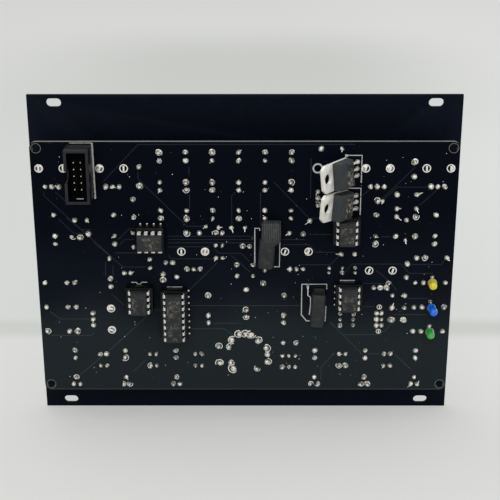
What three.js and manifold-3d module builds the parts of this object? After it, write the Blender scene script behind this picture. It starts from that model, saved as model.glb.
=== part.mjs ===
// A 32 HP synthesizer module, seen from behind: a front panel, a circuit board held behind it, and
// the parts soldered to both sides of that board.
// X runs to the right as seen from behind, Z runs up, the back faces -Y. Lengths are millimetres.
// The origin lies on the panel's rear face, midway between the two upper slots.
import * as THREE from "three";
import { mergeVertices } from "three/addons/utils/BufferGeometryUtils.js";
import Module from "manifold-3d";

// Front panel and its rail slots
const PANEL_SIDE_BORDER = 2.45;
const PANEL_HEIGHT = 128.5;
const PANEL_THICKNESS = 1.6;
const SLOT_SIDE_INSET = 10.03;
const SLOT_RAIL_INSET = 3;
const SLOT_WIDTH = 3.2;
const SLOT_LENGTH = 5.6;
const PANEL_HOLE_CLEARANCE = 0.25;

// Circuit board
const BOARD_THICKNESS = 1.6;
const BOARD_GAP = 11.1;
const BOARD_DROP = 0.5;
const BOARD_CORNER_RADIUS = 2.4;
const BOARD_HOLE_RADIUS = 1.6;
const BOARD_HOLE_INSET = 2.4;
const RING_PAD_GAP = 5.15;
const RING_PAD_RADIUS = 1.35;
const SEAT_GAP = 0.1;

// Solder joints on the rear face
const SIGNAL_JOINT_RADIUS = 0.95;
const LUG_JOINT_RADIUS = 1.5;
const JOINT_HEIGHT = 1.3;

// Gaps and insets of the layout, whose rows and columns follow from the pieces between them
const EDGE_COLUMN_INSET = 7.5;
const TOP_ROW_INSET = 10;
const BOTTOM_ROW_INSET = 10.4;
const GRID_GAP = 8.3;
const GRID_SHIFT = -7.1;
const JACK_GAP = 0.7;
const JACK_ROW_GAP = 3.8;
const MIDDLE_ROW = 7.6;
const MIDDLE_ROW_GAP = 8.8;
const MIDDLE_COLUMN_GAP = 2;
const SIDE_JACK_GAP = 1.05;
const SIDE_JACK_RISE = 4.1;
const LOWER_JACK_SHIFT = 0.3;
const ARC_JACK_SHIFT = 0.35;
const ARC_JACK_SPACE = 5.5;
const ARC_JACK_GAP = 2.05;
const ARC_JACK_RISE = 2.45;
const BOTTOM_JACK_GAP = 10.8;
const BOTTOM_JACK_SPACE = 10.6;
const BUTTON_RISE = 2.5;
const INDICATOR_INSET = 2.5;

// Jack for a 3.5 mm plug
const JACK_WIDTH = 9;
const JACK_TIP_SIDE = 4.5;
const JACK_SLEEVE_SIDE = 6;
const JACK_PANEL_GAP = 1;
const JACK_TIP_PIN = 4.92;
const JACK_SLEEVE_PIN = 6.48;
const JACK_SWITCH_PIN = 3.35;
const JACK_BUSH_RADIUS = 3;
const JACK_NUT_RADIUS = 4;
const JACK_NUT_THICKNESS = 1.8;
const PLUG_BORE_RADIUS = 1.85;
const JACK_FLOOR = 0.9;

// Potentiometer
const POT_WIDTH = 9.5;
const POT_PIN_SIDE = 6.3;
const POT_FAR_SIDE = 4.8;
const POT_BODY_HEIGHT = 6.8;
const POT_CROWN_RADIUS = 4.3;
const POT_LUG_SPACING = 8.9;
const POT_LUG_WIDTH = 2;
const POT_LUG_THICKNESS = 0.5;
const POT_LUG_HEIGHT = 3.5;
const POT_PIN_ROW = 7;
const POT_PIN_PITCH = 2.5;
const POT_PANEL_GAP = 0.8;
const POT_BUSH_RADIUS = 3.6;
const POT_BUSH_PROUD = 3.4;
const POT_NUT_RADIUS = 5;
const POT_NUT_THICKNESS = 2;
const SHAFT_RADIUS = 2.5;
const SHAFT_ENTRY = 4;
const SHAFT_CLEARANCE = 0.12;

// Knobs
const KNOB_RADIUS = 6;
const KNOB_TOP_RADIUS = 5;
const KNOB_HEIGHT = 13;
const KNOB_SKIRT = 2;
const KNOB_EDGE = 0.6;
const KNOB_LIFT = 0.6;
const POINTER_WIDTH = 1;
const POINTER_DEPTH = 0.4;
const ROTARY_KNOB_RADIUS = 9;
const ROTARY_KNOB_TOP_RADIUS = 7.8;
const ROTARY_KNOB_HEIGHT = 15;

// Rotary switch
const ROTARY_SHIFT = 1.2;
const ROTARY_RISE = 6;
const ROTARY_RADIUS = 10.5;
const ROTARY_PANEL_GAP = 1;
const ROTARY_BUSH_RADIUS = 4.6;
const ROTARY_NUT_RADIUS = 6.6;
const ROTARY_PIN_CIRCLE = 7.8;
const ROTARY_PIN_COUNT = 12;
const ROTARY_COMMON_OUT = 11.8;
const ROTARY_COMMON_SPREAD = 6;

// Push switches and their buttons
const SWITCH_SIDE = 6;
const SWITCH_HEIGHT = 4.2;
const SWITCH_WELL_DEPTH = 2.4;
const STEM_RADIUS = 1.6;
const STEM_CLEARANCE = 0.15;
const BUTTON_RADIUS = 2.5;
const BUTTON_LENGTH = 6.4;
const BUTTON_PROUD = 2.2;
const BUTTON_TRAVEL = 0.5;
const SWITCH_PINS_X = 2.5;
const SWITCH_PINS_Z = 5;
const TACT_PINS_X = 6.1;
const TACT_PINS_Z = 4.4;

// Toggle switch
const TOGGLE_WIDTH = 6;
const TOGGLE_LENGTH = 8;
const TOGGLE_HEIGHT = 8;
const TOGGLE_BUSH_RADIUS = 3;
const TOGGLE_BUSH_PROUD = 3;
const TOGGLE_NUT_RADIUS = 4.2;
const TOGGLE_NUT_THICKNESS = 1.6;
const TOGGLE_BORE_RADIUS = 2.3;
const TOGGLE_BORE_DEPTH = 5;
const LEVER_RADIUS = 0.9;
const LEVER_TIP_RADIUS = 1.3;
const LEVER_BALL_RADIUS = 1.6;
const LEVER_REACH = 7.5;
const LEVER_LEAN = THREE.MathUtils.degToRad(12);

// Slide switch
const SLIDE_WIDTH = 4.4;
const SLIDE_LENGTH = 8.6;
const SLIDE_HEIGHT = 4.7;
const SLIDE_TRAVEL = 2;
const SLIDE_KNOB = 1.8;
const SLIDE_WELL_DEPTH = 1.6;
const SLIDE_CLEARANCE = 0.3;
const SLIDE_PROUD = 2.4;
const SLIDE_LUG_SPACING = 10.1;

// Indicator lamps of the front and of the rear
const LAMP_RADIUS = 1.5;
const LAMP_FLANGE_RADIUS = 1.9;
const LAMP_FLANGE = 1;
const LAMP_LENGTH = 5.3;
const LAMP_PROUD = 1.2;
const LAMP_SEAT = 0.3;
const LEAD_PITCH = 2.54;
const LEAD_SIDE = 0.5;

// Power header
const HEADER_OUTER_GAP = 0.55;
const HEADER_INNER_GAP = 0.85;
const HEADER_INSET = 0.65;
const HEADER_WIDTH = 9;
const HEADER_LENGTH = 20.3;
const HEADER_HEIGHT = 9;
const HEADER_WALL = 1.1;
const HEADER_FLOOR = 2.4;
const HEADER_KEY = 4.5;
const HEADER_PIN_SIDE = 0.64;
const HEADER_PIN_HEIGHT = 8.2;
const HEADER_PIN_TIP = 0.5;
const HEADER_ROWS = 5;
const PIN_PITCH = 2.54;

// Dual in-line chips and their sockets
const SHORT_CHIP_PINS = 8;
const LONG_CHIP_PINS = 16;
const CHIP_WIDTH = 6.35;
const CHIP_THICKNESS = 3.3;
const CHIP_END_MARGIN = 0.4;
const CHIP_NOTCH_RADIUS = 0.8;
const CHIP_LIFT = 0.5;
const CHIP_DRAFT = 0.3;
const ROW_SPACING = 7.62;
const LEG_WIDTH = 1.3;
const LEG_THICKNESS = 0.3;
const LEG_ENTRY = 1.2;
const LEG_CLEARANCE = 0.15;
const SOCKET_HEIGHT = 4.3;
const SOCKET_RAIL = 2.54;
const SOCKET_BRIDGE = 1.5;

// Regulators in tab packages, leaning off the board
const REGULATOR_COLUMN_GAP = 1.65;
const REGULATOR_DROP = 0.1;
const REGULATOR_GAP = 2.4;
const REGULATOR_CHIP_GAP = 0.42;
const REGULATOR_LEAN = THREE.MathUtils.degToRad(45);
const REGULATOR_WIDTH = 10.2;
const REGULATOR_BODY = 9;
const REGULATOR_THICKNESS = 4.5;
const TAB_REACH = 6.4;
const TAB_THICKNESS = 1.3;
const TAB_CHAMFER = 1.4;
const TAB_HOLE_RADIUS = 1.9;
const TAB_HOLE_INSET = 2.8;
const BODY_CHAMFER = 0.7;
const REGULATOR_LEG = 4;
const REGULATOR_STUB = 1;
const REGULATOR_LEG_WIDTH = 0.9;
const REGULATOR_LEG_THICKNESS = 0.5;
const REGULATOR_LEG_DEPTH = 2.4;

// Sleeved optocouplers lying on the board
const SLEEVE_LIFT = 0.4;
const UPPER_SLEEVE_GAP = 1.3;
const UPPER_SLEEVE_DROP = 0.42;
const UPPER_SLEEVE_HEAD = 7.9;
const UPPER_SLEEVE_TAIL = 10.2;
const UPPER_SLEEVE_HEAD_WIDTH = 7.3;
const UPPER_SLEEVE_HEAD_SHIFT = 1.9;
const UPPER_SLEEVE_TAIL_WIDTH = 5.6;
const LOWER_SLEEVE_GAP = 1.1;
const LOWER_SLEEVE_DROP = 9.3;
const LOWER_SLEEVE_LENGTH = 13.8;
const LOWER_SLEEVE_WIDTH = 5.5;
const SLEEVE_THICKNESS = 5;
const SLEEVE_BEVEL = 0.6;
const SLEEVE_LEAD_OUT = 1.4;

// Facets of the round shapes
const ROUND_SIDES = 12;
const DRUM_SIDES = 16;
const SMALL_SIDES = 8;
const JOINT_SIDES = 4;
const HEX_SIDES = 6;
const ARC_STEPS = 2;
const OVERRUN = 0.5;
const WELD = 1e-4;

// Planes across the depth of the module
const BOARD_FRONT = -BOARD_GAP;
const BOARD_REAR = BOARD_FRONT - BOARD_THICKNESS;

// Columns, counted from the board's middle
const GRID_COLUMNS = 6;
const GRID_PITCH = JACK_WIDTH + JACK_GAP;
const GRID_HALF = ((GRID_COLUMNS - 1) * GRID_PITCH + JACK_WIDTH) / 2;
const LUG_REACH = POT_LUG_SPACING / 2 + LUG_JOINT_RADIUS;
const INNER_COLUMN = GRID_HALF - GRID_SHIFT + GRID_GAP + POT_WIDTH / 2;
const EDGE_COLUMN = INNER_COLUMN + HEADER_INNER_GAP + HEADER_WIDTH + HEADER_OUTER_GAP + 2 * LUG_REACH;
const LOWER_COLUMN = INNER_COLUMN + PIN_PITCH;
const MIDDLE_COLUMN = POT_WIDTH + SWITCH_SIDE + 2 * MIDDLE_COLUMN_GAP;
const BOTTOM_JACK_FIRST = ROTARY_SHIFT + ROTARY_RADIUS + BOTTOM_JACK_GAP + JACK_WIDTH / 2;
const BOTTOM_JACK_PITCH = JACK_WIDTH + BOTTOM_JACK_SPACE;
const HEADER_X = LUG_REACH + HEADER_OUTER_GAP + HEADER_WIDTH / 2 - EDGE_COLUMN;
const ARC_JACK_PITCH = JACK_WIDTH + ARC_JACK_SPACE;
const REGULATOR_X = INNER_COLUMN - LUG_REACH - REGULATOR_COLUMN_GAP;
const UPPER_SLEEVE_X = MIDDLE_COLUMN - (POT_WIDTH + UPPER_SLEEVE_HEAD_WIDTH) / 2 - UPPER_SLEEVE_GAP;
const LOWER_SLEEVE_X = MIDDLE_COLUMN + (POT_WIDTH + LOWER_SLEEVE_WIDTH) / 2 + LOWER_SLEEVE_GAP;

// Rows, counted from the board's middle
const SECOND_ROW = MIDDLE_ROW + POT_FAR_SIDE + MIDDLE_ROW_GAP + JACK_SLEEVE_SIDE;
const TOP_ROW = SECOND_ROW + 2 * JACK_TIP_SIDE + JACK_ROW_GAP;
const BOARD_TOP = TOP_ROW + TOP_ROW_INSET;
const BOTTOM_ROW = BOTTOM_ROW_INSET - BOARD_TOP;
const BUTTON_ROW = BOTTOM_ROW + BUTTON_RISE;
const ROTARY_ROW = BOTTOM_ROW + ROTARY_RISE;
const SIDE_JACK_PITCH = JACK_WIDTH + SIDE_JACK_GAP;
const SIDE_JACK_LOWEST = BOTTOM_ROW + JACK_SLEEVE_SIDE + SIDE_JACK_RISE + JACK_WIDTH / 2;
const LOWER_ROW = SIDE_JACK_LOWEST + SIDE_JACK_PITCH / 2;
const THIRD_ROW = SECOND_ROW - SIDE_JACK_PITCH;
const ARC_ROW = ROTARY_ROW + ROTARY_RADIUS + ARC_JACK_GAP + JACK_SLEEVE_SIDE;
const HEADER_Z = BOARD_TOP - HEADER_INSET - HEADER_LENGTH / 2;
const REGULATOR_UPPER_Z = TOP_ROW - REGULATOR_DROP;
const REGULATOR_LOWER_Z = REGULATOR_UPPER_Z - REGULATOR_WIDTH - REGULATOR_GAP;
const UPPER_SLEEVE_TOP = SECOND_ROW - JACK_SLEEVE_PIN - UPPER_SLEEVE_DROP;
const LOWER_SLEEVE_TOP = MIDDLE_ROW - POT_PIN_SIDE - LOWER_SLEEVE_DROP;

// Outlines of the board and the panel, which follow from the rows and columns
const BOARD_WIDTH = 2 * (EDGE_COLUMN + EDGE_COLUMN_INSET);
const BOARD_HEIGHT = 2 * BOARD_TOP;
const PANEL_WIDTH = BOARD_WIDTH + 2 * PANEL_SIDE_BORDER;
const SLOT_SPACING_X = PANEL_WIDTH - 2 * SLOT_SIDE_INSET;
const SLOT_SPACING_Z = PANEL_HEIGHT - 2 * SLOT_RAIL_INSET;
const RAIL_STRIP = (PANEL_HEIGHT - BOARD_HEIGHT) / 2;
const QUARTER_TURN = Math.PI / 2;

const COLOURS = {
  mask: { color: 0x0b0c0e, roughness: 0.45, metalness: 0 },
  panel: { color: 0x0a0a0b, roughness: 0.6, metalness: 0 },
  moulding: { color: 0x17181a, roughness: 0.5, metalness: 0 },
  sleeve: { color: 0x1b1c1d, roughness: 0.7, metalness: 0 },
  tab: { color: 0xc9c8c2, roughness: 0.35, metalness: 0.9 },
  nickel: { color: 0xb4b4b0, roughness: 0.3, metalness: 1 },
  knob: { color: 0x1c1c1e, roughness: 0.55, metalness: 0 },
  yellow: { color: 0xd8cf1f, roughness: 0.15, metalness: 0 },
  blue: { color: 0x1f6fe0, roughness: 0.15, metalness: 0 },
  green: { color: 0x39a347, roughness: 0.15, metalness: 0 },
};

const wasm = await Module();
wasm.setup();

// A closed geometry as a solid that can be joined and cut.
function solidOf(geometry) {
  const bare = new THREE.BufferGeometry();
  bare.setAttribute("position", geometry.getAttribute("position").clone());
  if (geometry.index) bare.setIndex(geometry.index.clone());
  const welded = mergeVertices(bare, WELD);
  const mesh = new wasm.Mesh({
    numProp: 3,
    vertProperties: welded.getAttribute("position").array,
    triVerts: new Uint32Array(welded.index.array),
  });
  return new wasm.Manifold(mesh);
}

function geometryOf(solid) {
  const mesh = solid.getMesh();
  const geometry = new THREE.BufferGeometry();
  geometry.setAttribute("position", new THREE.BufferAttribute(mesh.vertProperties, 3));
  geometry.setIndex(new THREE.BufferAttribute(mesh.triVerts, 1));
  const flat = geometry.toNonIndexed();
  flat.computeVertexNormals();
  return flat;
}

function joined(pieces) {
  return pieces.map(solidOf).reduce((whole, piece) => whole.add(piece));
}

// The pieces joined, less the cuts.
function shaped(pieces, cuts = []) {
  const whole = joined(pieces);
  return geometryOf(cuts.length ? whole.subtract(joined(cuts)) : whole);
}

function namedMesh(name, geometry, look) {
  const mesh = new THREE.Mesh(geometry, new THREE.MeshStandardMaterial(COLOURS[look]));
  mesh.name = name;
  return mesh;
}

function box(width, depth, height, x = 0, y = 0, z = 0) {
  return new THREE.BoxGeometry(width, depth, height).translate(x, y, z);
}

// A box that reaches from one depth to another.
function block(width, height, near, far, x = 0, z = 0) {
  return box(width, far - near, height, x, (near + far) / 2, z);
}

// A round or many-sided bar along Y.
function bar(radius, near, far, x = 0, z = 0, sides = ROUND_SIDES) {
  const cylinder = new THREE.CylinderGeometry(radius, radius, far - near, sides);
  return cylinder.translate(x, (near + far) / 2, z);
}

// The radius of a many-sided bore whose flats clear a round bar.
function boreRadius(radius, clearance, sides = ROUND_SIDES) {
  return (radius + clearance) / Math.cos(Math.PI / sides);
}

function arcPoints(x, z, radius, from, to, steps = ARC_STEPS) {
  return Array.from({ length: steps + 1 }, (_, i) => {
    const angle = from + ((to - from) * i) / steps;
    return new THREE.Vector2(x + radius * Math.cos(angle), z + radius * Math.sin(angle));
  });
}

function roundedOutline(width, height, radius, steps = ARC_STEPS) {
  const x = width / 2 - radius;
  const z = height / 2 - radius;
  const corners = [[x, z], [-x, z], [-x, -z], [x, -z]];
  return corners.flatMap(([cx, cz], i) =>
    arcPoints(cx, cz, radius, i * QUARTER_TURN, (i + 1) * QUARTER_TURN, steps),
  );
}

function obroundOutline(length, width) {
  const reach = (length - width) / 2;
  const right = arcPoints(reach, 0, width / 2, -QUARTER_TURN, QUARTER_TURN, 2 * ARC_STEPS);
  const left = arcPoints(-reach, 0, width / 2, QUARTER_TURN, 3 * QUARTER_TURN, 2 * ARC_STEPS);
  return [...right, ...left];
}

// An outline in X and Z, drawn out along Y from near to far.
function slab(outline, near, far, bevel = 0) {
  const geometry = new THREE.ExtrudeGeometry(new THREE.Shape(outline), {
    depth: far - near - 2 * bevel,
    bevelEnabled: bevel > 0,
    bevelThickness: bevel,
    bevelSize: bevel,
    bevelOffset: -bevel,
    bevelSegments: 1,
  });
  return geometry.rotateX(QUARTER_TURN).translate(0, far - bevel, 0);
}

// Copies of pieces, turned about Y and moved to a place on the board.
function placed(pieces, { x, z, turn = 0 }, y = 0) {
  const matrix = new THREE.Matrix4().makeRotationY(turn).setPosition(x, y, z);
  return pieces.map((piece) => piece.clone().applyMatrix4(matrix));
}

// Where each kind of control sits on the board. A turn swings its local +Z side about Y.
function potPlaces() {
  const topRow = [-EDGE_COLUMN, -INNER_COLUMN, INNER_COLUMN, EDGE_COLUMN];
  return [
    ...topRow.map((x) => ({ x, z: TOP_ROW, turn: 0 })),
    { x: -MIDDLE_COLUMN, z: MIDDLE_ROW, turn: 0 },
    { x: MIDDLE_COLUMN, z: MIDDLE_ROW, turn: 0 },
    { x: -LOWER_COLUMN, z: LOWER_ROW, turn: QUARTER_TURN },
    { x: LOWER_COLUMN, z: 0, turn: 0 },
  ];
}

// A jack's turn points its sleeve pin: 0 is up, a half turn is down.
function jackPlaces() {
  const firstColumn = GRID_SHIFT - GRID_HALF + JACK_WIDTH / 2;
  const columns = Array.from({ length: GRID_COLUMNS }, (_, i) => firstColumn + i * GRID_PITCH);
  const grid = columns.flatMap((x, i) => [
    { name: `jack_top_${2 * i + 1}`, x, z: TOP_ROW, turn: 0 },
    { name: `jack_top_${2 * i + 2}`, x, z: SECOND_ROW, turn: 2 * QUARTER_TURN },
  ]);
  const side = (label, count, x, turn) =>
    Array.from({ length: count }, (_, i) => ({
      name: `jack_${label}_${i + 1}`,
      x,
      z: SIDE_JACK_LOWEST + i * SIDE_JACK_PITCH,
      turn,
    }));
  const steps = [0, 1, 2];
  const bottomColumns = steps.map((i) => BOTTOM_JACK_FIRST + i * BOTTOM_JACK_PITCH);
  const bottom = [...bottomColumns.map((x) => -x).reverse(), ...bottomColumns];
  return [
    ...grid,
    ...side("left", 3, -EDGE_COLUMN, QUARTER_TURN),
    ...side("right", 4, EDGE_COLUMN, -QUARTER_TURN),
    ...bottom.map((x, i) => ({ name: `jack_bottom_${i + 1}`, x, z: BOTTOM_ROW, turn: 0 })),
  ];
}

// The jacks that are one solid with the board: one under each upper potentiometer, one on the
// left and an arc of three over the rotary switch, all with the sleeve pin down.
function boardJackPlaces() {
  const underPots = [-EDGE_COLUMN, -INNER_COLUMN, INNER_COLUMN, EDGE_COLUMN];
  const arc = [-1, 0, 1].map((step) => ({
    x: ARC_JACK_SHIFT + step * ARC_JACK_PITCH,
    z: ARC_ROW + (step ? 0 : ARC_JACK_RISE),
  }));
  const left = { x: LOWER_JACK_SHIFT - LOWER_COLUMN, z: 0 };
  const places = [...underPots.map((x) => ({ x, z: THIRD_ROW })), left, ...arc];
  return places.map((place) => ({ ...place, turn: 2 * QUARTER_TURN }));
}

// Each lower button sits between two bottom jacks, at a share of the pitch beyond the inner one.
function buttonPlaces() {
  const outerShare = 0.44;
  const innerShare = 0.45;
  const beyond = (step, share) => BOTTOM_JACK_FIRST + (step + share) * BOTTOM_JACK_PITCH;
  const nearRotary = BOTTOM_JACK_FIRST - innerShare * BOTTOM_JACK_PITCH;
  return [
    { name: "button_1", x: -beyond(1, outerShare), z: BUTTON_ROW },
    { name: "button_2", x: -beyond(0, innerShare), z: BUTTON_ROW },
    { name: "button_3", x: -nearRotary, z: BUTTON_ROW },
    { name: "button_4", x: beyond(0, 1 - innerShare), z: BUTTON_ROW },
    { name: "button_5", x: beyond(1, outerShare), z: BUTTON_ROW },
    { name: "button_6", x: -MIDDLE_COLUMN / 2, z: MIDDLE_ROW },
  ];
}

function tactPlace() {
  return { x: 0, z: 0 };
}

function togglePlace() {
  return { x: ROTARY_SHIFT + ROTARY_RADIUS + BOTTOM_JACK_GAP / 2, z: BUTTON_ROW };
}

function rotaryPlace() {
  return { x: ROTARY_SHIFT, z: ROTARY_ROW };
}

function slidePlace() {
  return { x: LOWER_COLUMN, z: LOWER_ROW };
}

function frontLampPlaces() {
  const z = INDICATOR_INSET - BOARD_TOP;
  return jackPlaces()
    .filter(({ name }) => name.startsWith("jack_bottom"))
    .map(({ x }) => ({ x, z }));
}

// The three rear lamps stand over the three lower jacks of the right column.
function rearLampPlaces() {
  return [2, 1, 0].map((step) => ({ x: EDGE_COLUMN, z: SIDE_JACK_LOWEST + step * SIDE_JACK_PITCH }));
}

// Front panel
function panelOpenings() {
  const through = [-OVERRUN, PANEL_THICKNESS + OVERRUN];
  const hole = (radius, { x, z }, sides = ROUND_SIDES) =>
    bar(boreRadius(radius, PANEL_HOLE_CLEARANCE, sides), ...through, x, z, sides);
  const slot = slab(obroundOutline(SLOT_LENGTH, SLOT_WIDTH), ...through);
  const slideWindow = block(
    SLIDE_KNOB + 2 * SLIDE_CLEARANCE,
    SLIDE_KNOB + SLIDE_TRAVEL + 2 * SLIDE_CLEARANCE,
    ...through,
  );
  const onBoard = [
    ...[...jackPlaces(), ...boardJackPlaces()].map((place) =>
      hole(JACK_BUSH_RADIUS, place, SMALL_SIDES),
    ),
    ...potPlaces().map((place) => hole(POT_BUSH_RADIUS, place, SMALL_SIDES)),
    ...buttonPlaces().map((place) => hole(BUTTON_RADIUS, place, SMALL_SIDES)),
    ...frontLampPlaces().map((place) => hole(LAMP_RADIUS, place, SMALL_SIDES)),
    hole(BUTTON_RADIUS, tactPlace(), SMALL_SIDES),
    hole(ROTARY_BUSH_RADIUS, rotaryPlace()),
    hole(TOGGLE_BUSH_RADIUS, togglePlace()),
    ...placed([slideWindow], slidePlace()),
  ];
  onBoard.forEach((cut) => cut.translate(0, 0, -BOARD_DROP));
  const slotCentres = [-1, 1].flatMap((right) => [-1, 1].map((up) => [right, up]));
  const slots = slotCentres.flatMap(([right, up]) =>
    placed([slot], { x: (right * SLOT_SPACING_X) / 2, z: (up * SLOT_SPACING_Z) / 2 }),
  );
  return [...onBoard, ...slots];
}

// The two strips that rest on the rails are pieces of their own, each a plain face.
function frontPanel() {
  const railLine = (PANEL_HEIGHT - RAIL_STRIP) / 2;
  const strip = (z) => block(PANEL_WIDTH, RAIL_STRIP, 0, PANEL_THICKNESS, 0, z);
  const middle = block(PANEL_WIDTH, BOARD_HEIGHT, 0, PANEL_THICKNESS);
  const plate = [middle, strip(railLine), strip(-railLine)];
  return namedMesh("front_panel", shaped(plate, panelOpenings()), "panel");
}

// Solder joints: a cone round each lead's end
function joint(x, z, radius = SIGNAL_JOINT_RADIUS) {
  const height = JOINT_HEIGHT + OVERRUN;
  const cone = new THREE.ConeGeometry(radius, height, JOINT_SIDES);
  return cone.rotateX(2 * QUARTER_TURN).translate(x, OVERRUN - height / 2, z);
}

function grid(pitchX, countX, pitchZ, countZ) {
  const spread = (pitch, count) =>
    Array.from({ length: count }, (_, i) => (i - (count - 1) / 2) * pitch);
  return spread(pitchX, countX).flatMap((x) => spread(pitchZ, countZ).map((z) => [x, z]));
}

function jackJoints() {
  const pins = [JACK_SLEEVE_PIN, JACK_SWITCH_PIN, -JACK_TIP_PIN];
  return pins.map((z) => joint(0, z));
}

function potJoints() {
  const lugs = grid(POT_LUG_SPACING, 2, 0, 1).map(([x]) => joint(x, 0, LUG_JOINT_RADIUS));
  const pins = grid(POT_PIN_PITCH, 3, 0, 1).map(([x]) => joint(x, -POT_PIN_ROW));
  return [...lugs, ...pins];
}

function rotaryJoints() {
  const ring = Array.from({ length: ROTARY_PIN_COUNT }, (_, i) => {
    const angle = ((i + 1 / 2) * 2 * Math.PI) / ROTARY_PIN_COUNT;
    return joint(ROTARY_PIN_CIRCLE * Math.cos(angle), ROTARY_PIN_CIRCLE * Math.sin(angle));
  });
  const commons = grid(0, 1, ROTARY_COMMON_SPREAD, 2).map(([, z]) => joint(-ROTARY_COMMON_OUT, z));
  return [...ring, ...commons];
}

function slideJoints() {
  const pins = grid(0, 1, PIN_PITCH, 3).map(([, z]) => joint(0, z));
  const lugs = grid(0, 1, SLIDE_LUG_SPACING, 2).map(([, z]) => joint(0, z, LUG_JOINT_RADIUS));
  return [...pins, ...lugs];
}

function joints() {
  const switchPins = grid(SWITCH_PINS_X, 2, SWITCH_PINS_Z, 2).map(([x, z]) => joint(x, z));
  const tactPins = grid(TACT_PINS_X, 2, TACT_PINS_Z, 2).map(([x, z]) => joint(x, z));
  const togglePins = grid(SWITCH_PINS_X, 2, PIN_PITCH, 3).map(([x, z]) => joint(x, z));
  const lampPins = grid(LEAD_PITCH, 2, 0, 1).map(([x]) => joint(x, 0));
  return [
    ...[...jackPlaces(), ...boardJackPlaces()].flatMap((place) =>
      placed(jackJoints(), place, BOARD_REAR),
    ),
    ...potPlaces().flatMap((place) => placed(potJoints(), place, BOARD_REAR)),
    ...buttonPlaces().flatMap((place) => placed(switchPins, place, BOARD_REAR)),
    ...frontLampPlaces().flatMap((place) => placed(lampPins, place, BOARD_REAR)),
    ...placed(tactPins, tactPlace(), BOARD_REAR),
    ...placed(togglePins, togglePlace(), BOARD_REAR),
    ...placed(slideJoints(), slidePlace(), BOARD_REAR),
    ...placed(rotaryJoints(), rotaryPlace(), BOARD_REAR),
  ];
}

// Potentiometer: housing, lugs, crown, bush and nut, with the bore that its shaft turns in
function potPieces() {
  const middle = (POT_FAR_SIDE - POT_PIN_SIDE) / 2;
  const length = POT_FAR_SIDE + POT_PIN_SIDE;
  const sink = BOARD_FRONT - BOARD_THICKNESS / 2;
  const crown = -POT_PANEL_GAP;
  const nutSeat = PANEL_THICKNESS + SEAT_GAP;
  return [
    block(POT_WIDTH, length, sink, BOARD_FRONT + POT_BODY_HEIGHT, 0, middle),
    block(POT_WIDTH + 2 * POT_LUG_THICKNESS, POT_LUG_WIDTH, sink, BOARD_FRONT + POT_LUG_HEIGHT),
    bar(POT_CROWN_RADIUS, BOARD_FRONT, crown, 0, 0, SMALL_SIDES),
    bar(POT_BUSH_RADIUS, BOARD_FRONT, PANEL_THICKNESS + POT_BUSH_PROUD, 0, 0, SMALL_SIDES),
    bar(POT_NUT_RADIUS, nutSeat, nutSeat + POT_NUT_THICKNESS, 0, 0, HEX_SIDES),
  ];
}

function shaftBore() {
  const mouth = PANEL_THICKNESS + POT_BUSH_PROUD;
  const depth = SHAFT_ENTRY + SEAT_GAP;
  const radius = boreRadius(SHAFT_RADIUS, SHAFT_CLEARANCE, SMALL_SIDES);
  return bar(radius, mouth - depth, mouth + OVERRUN, 0, 0, SMALL_SIDES);
}

// Push switch: housing with the well that its stem moves in
function pushSwitchPieces() {
  return [block(SWITCH_SIDE, SWITCH_SIDE, BOARD_FRONT - OVERRUN, BOARD_FRONT + SWITCH_HEIGHT)];
}

function stemWell() {
  const mouth = BOARD_FRONT + SWITCH_HEIGHT;
  const radius = boreRadius(STEM_RADIUS, STEM_CLEARANCE, SMALL_SIDES);
  return bar(radius, mouth - SWITCH_WELL_DEPTH, mouth + OVERRUN, 0, 0, SMALL_SIDES);
}

function slideSwitchPieces() {
  return [block(SLIDE_WIDTH, SLIDE_LENGTH, BOARD_FRONT - OVERRUN, BOARD_FRONT + SLIDE_HEIGHT)];
}

function slideWell() {
  const mouth = BOARD_FRONT + SLIDE_HEIGHT;
  const width = SLIDE_KNOB + 2 * SLIDE_CLEARANCE;
  return block(width, width + SLIDE_TRAVEL, mouth - SLIDE_WELL_DEPTH, mouth + OVERRUN);
}

// Front lamp: a round lens on two leads, its dome just proud of the panel
function frontLampPieces() {
  const tip = PANEL_THICKNESS + LAMP_PROUD;
  const base = tip - LAMP_LENGTH;
  return [
    lampLens(LAMP_LENGTH, SMALL_SIDES).rotateX(2 * QUARTER_TURN).translate(0, base, 0),
    ...grid(LEAD_PITCH, 2, 0, 1).map(([x]) =>
      block(LEAD_SIDE, LEAD_SIDE, BOARD_FRONT - OVERRUN, base + OVERRUN, x),
    ),
  ];
}

// A lens along -Y: a round barrel that ends in a dome.
function lampLens(length, sides) {
  const dome = arcPoints(0, LAMP_RADIUS - length, LAMP_RADIUS, -QUARTER_TURN, 0);
  const outline = [...dome, new THREE.Vector2(LAMP_RADIUS, 0), new THREE.Vector2(0, 0)];
  outline[0].x = 0;
  return new THREE.LatheGeometry(outline, sides);
}

// Chip socket: two rails, each grooved for a row of legs, and two bridges
function socketPieces(pinCount) {
  const length = (pinCount / 2) * PIN_PITCH;
  const top = -SOCKET_HEIGHT;
  const rails = grid(ROW_SPACING, 2, 0, 1).map(([x]) => block(SOCKET_RAIL, length, top, OVERRUN, x));
  const bridges = grid(0, 1, length - SOCKET_BRIDGE, 2).map(([, z]) =>
    block(ROW_SPACING, SOCKET_BRIDGE, top, OVERRUN, 0, z),
  );
  return [...rails, ...bridges];
}

function socketGrooves(pinCount) {
  const depth = LEG_ENTRY + LEG_CLEARANCE;
  const width = LEG_THICKNESS + 2 * LEG_CLEARANCE;
  const length = (pinCount / 2 - 1) * PIN_PITCH + LEG_WIDTH + 2 * LEG_CLEARANCE;
  return grid(ROW_SPACING, 2, 0, 1).map(([x]) =>
    block(width, length, -SOCKET_HEIGHT - OVERRUN, depth - SOCKET_HEIGHT, x),
  );
}

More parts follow.
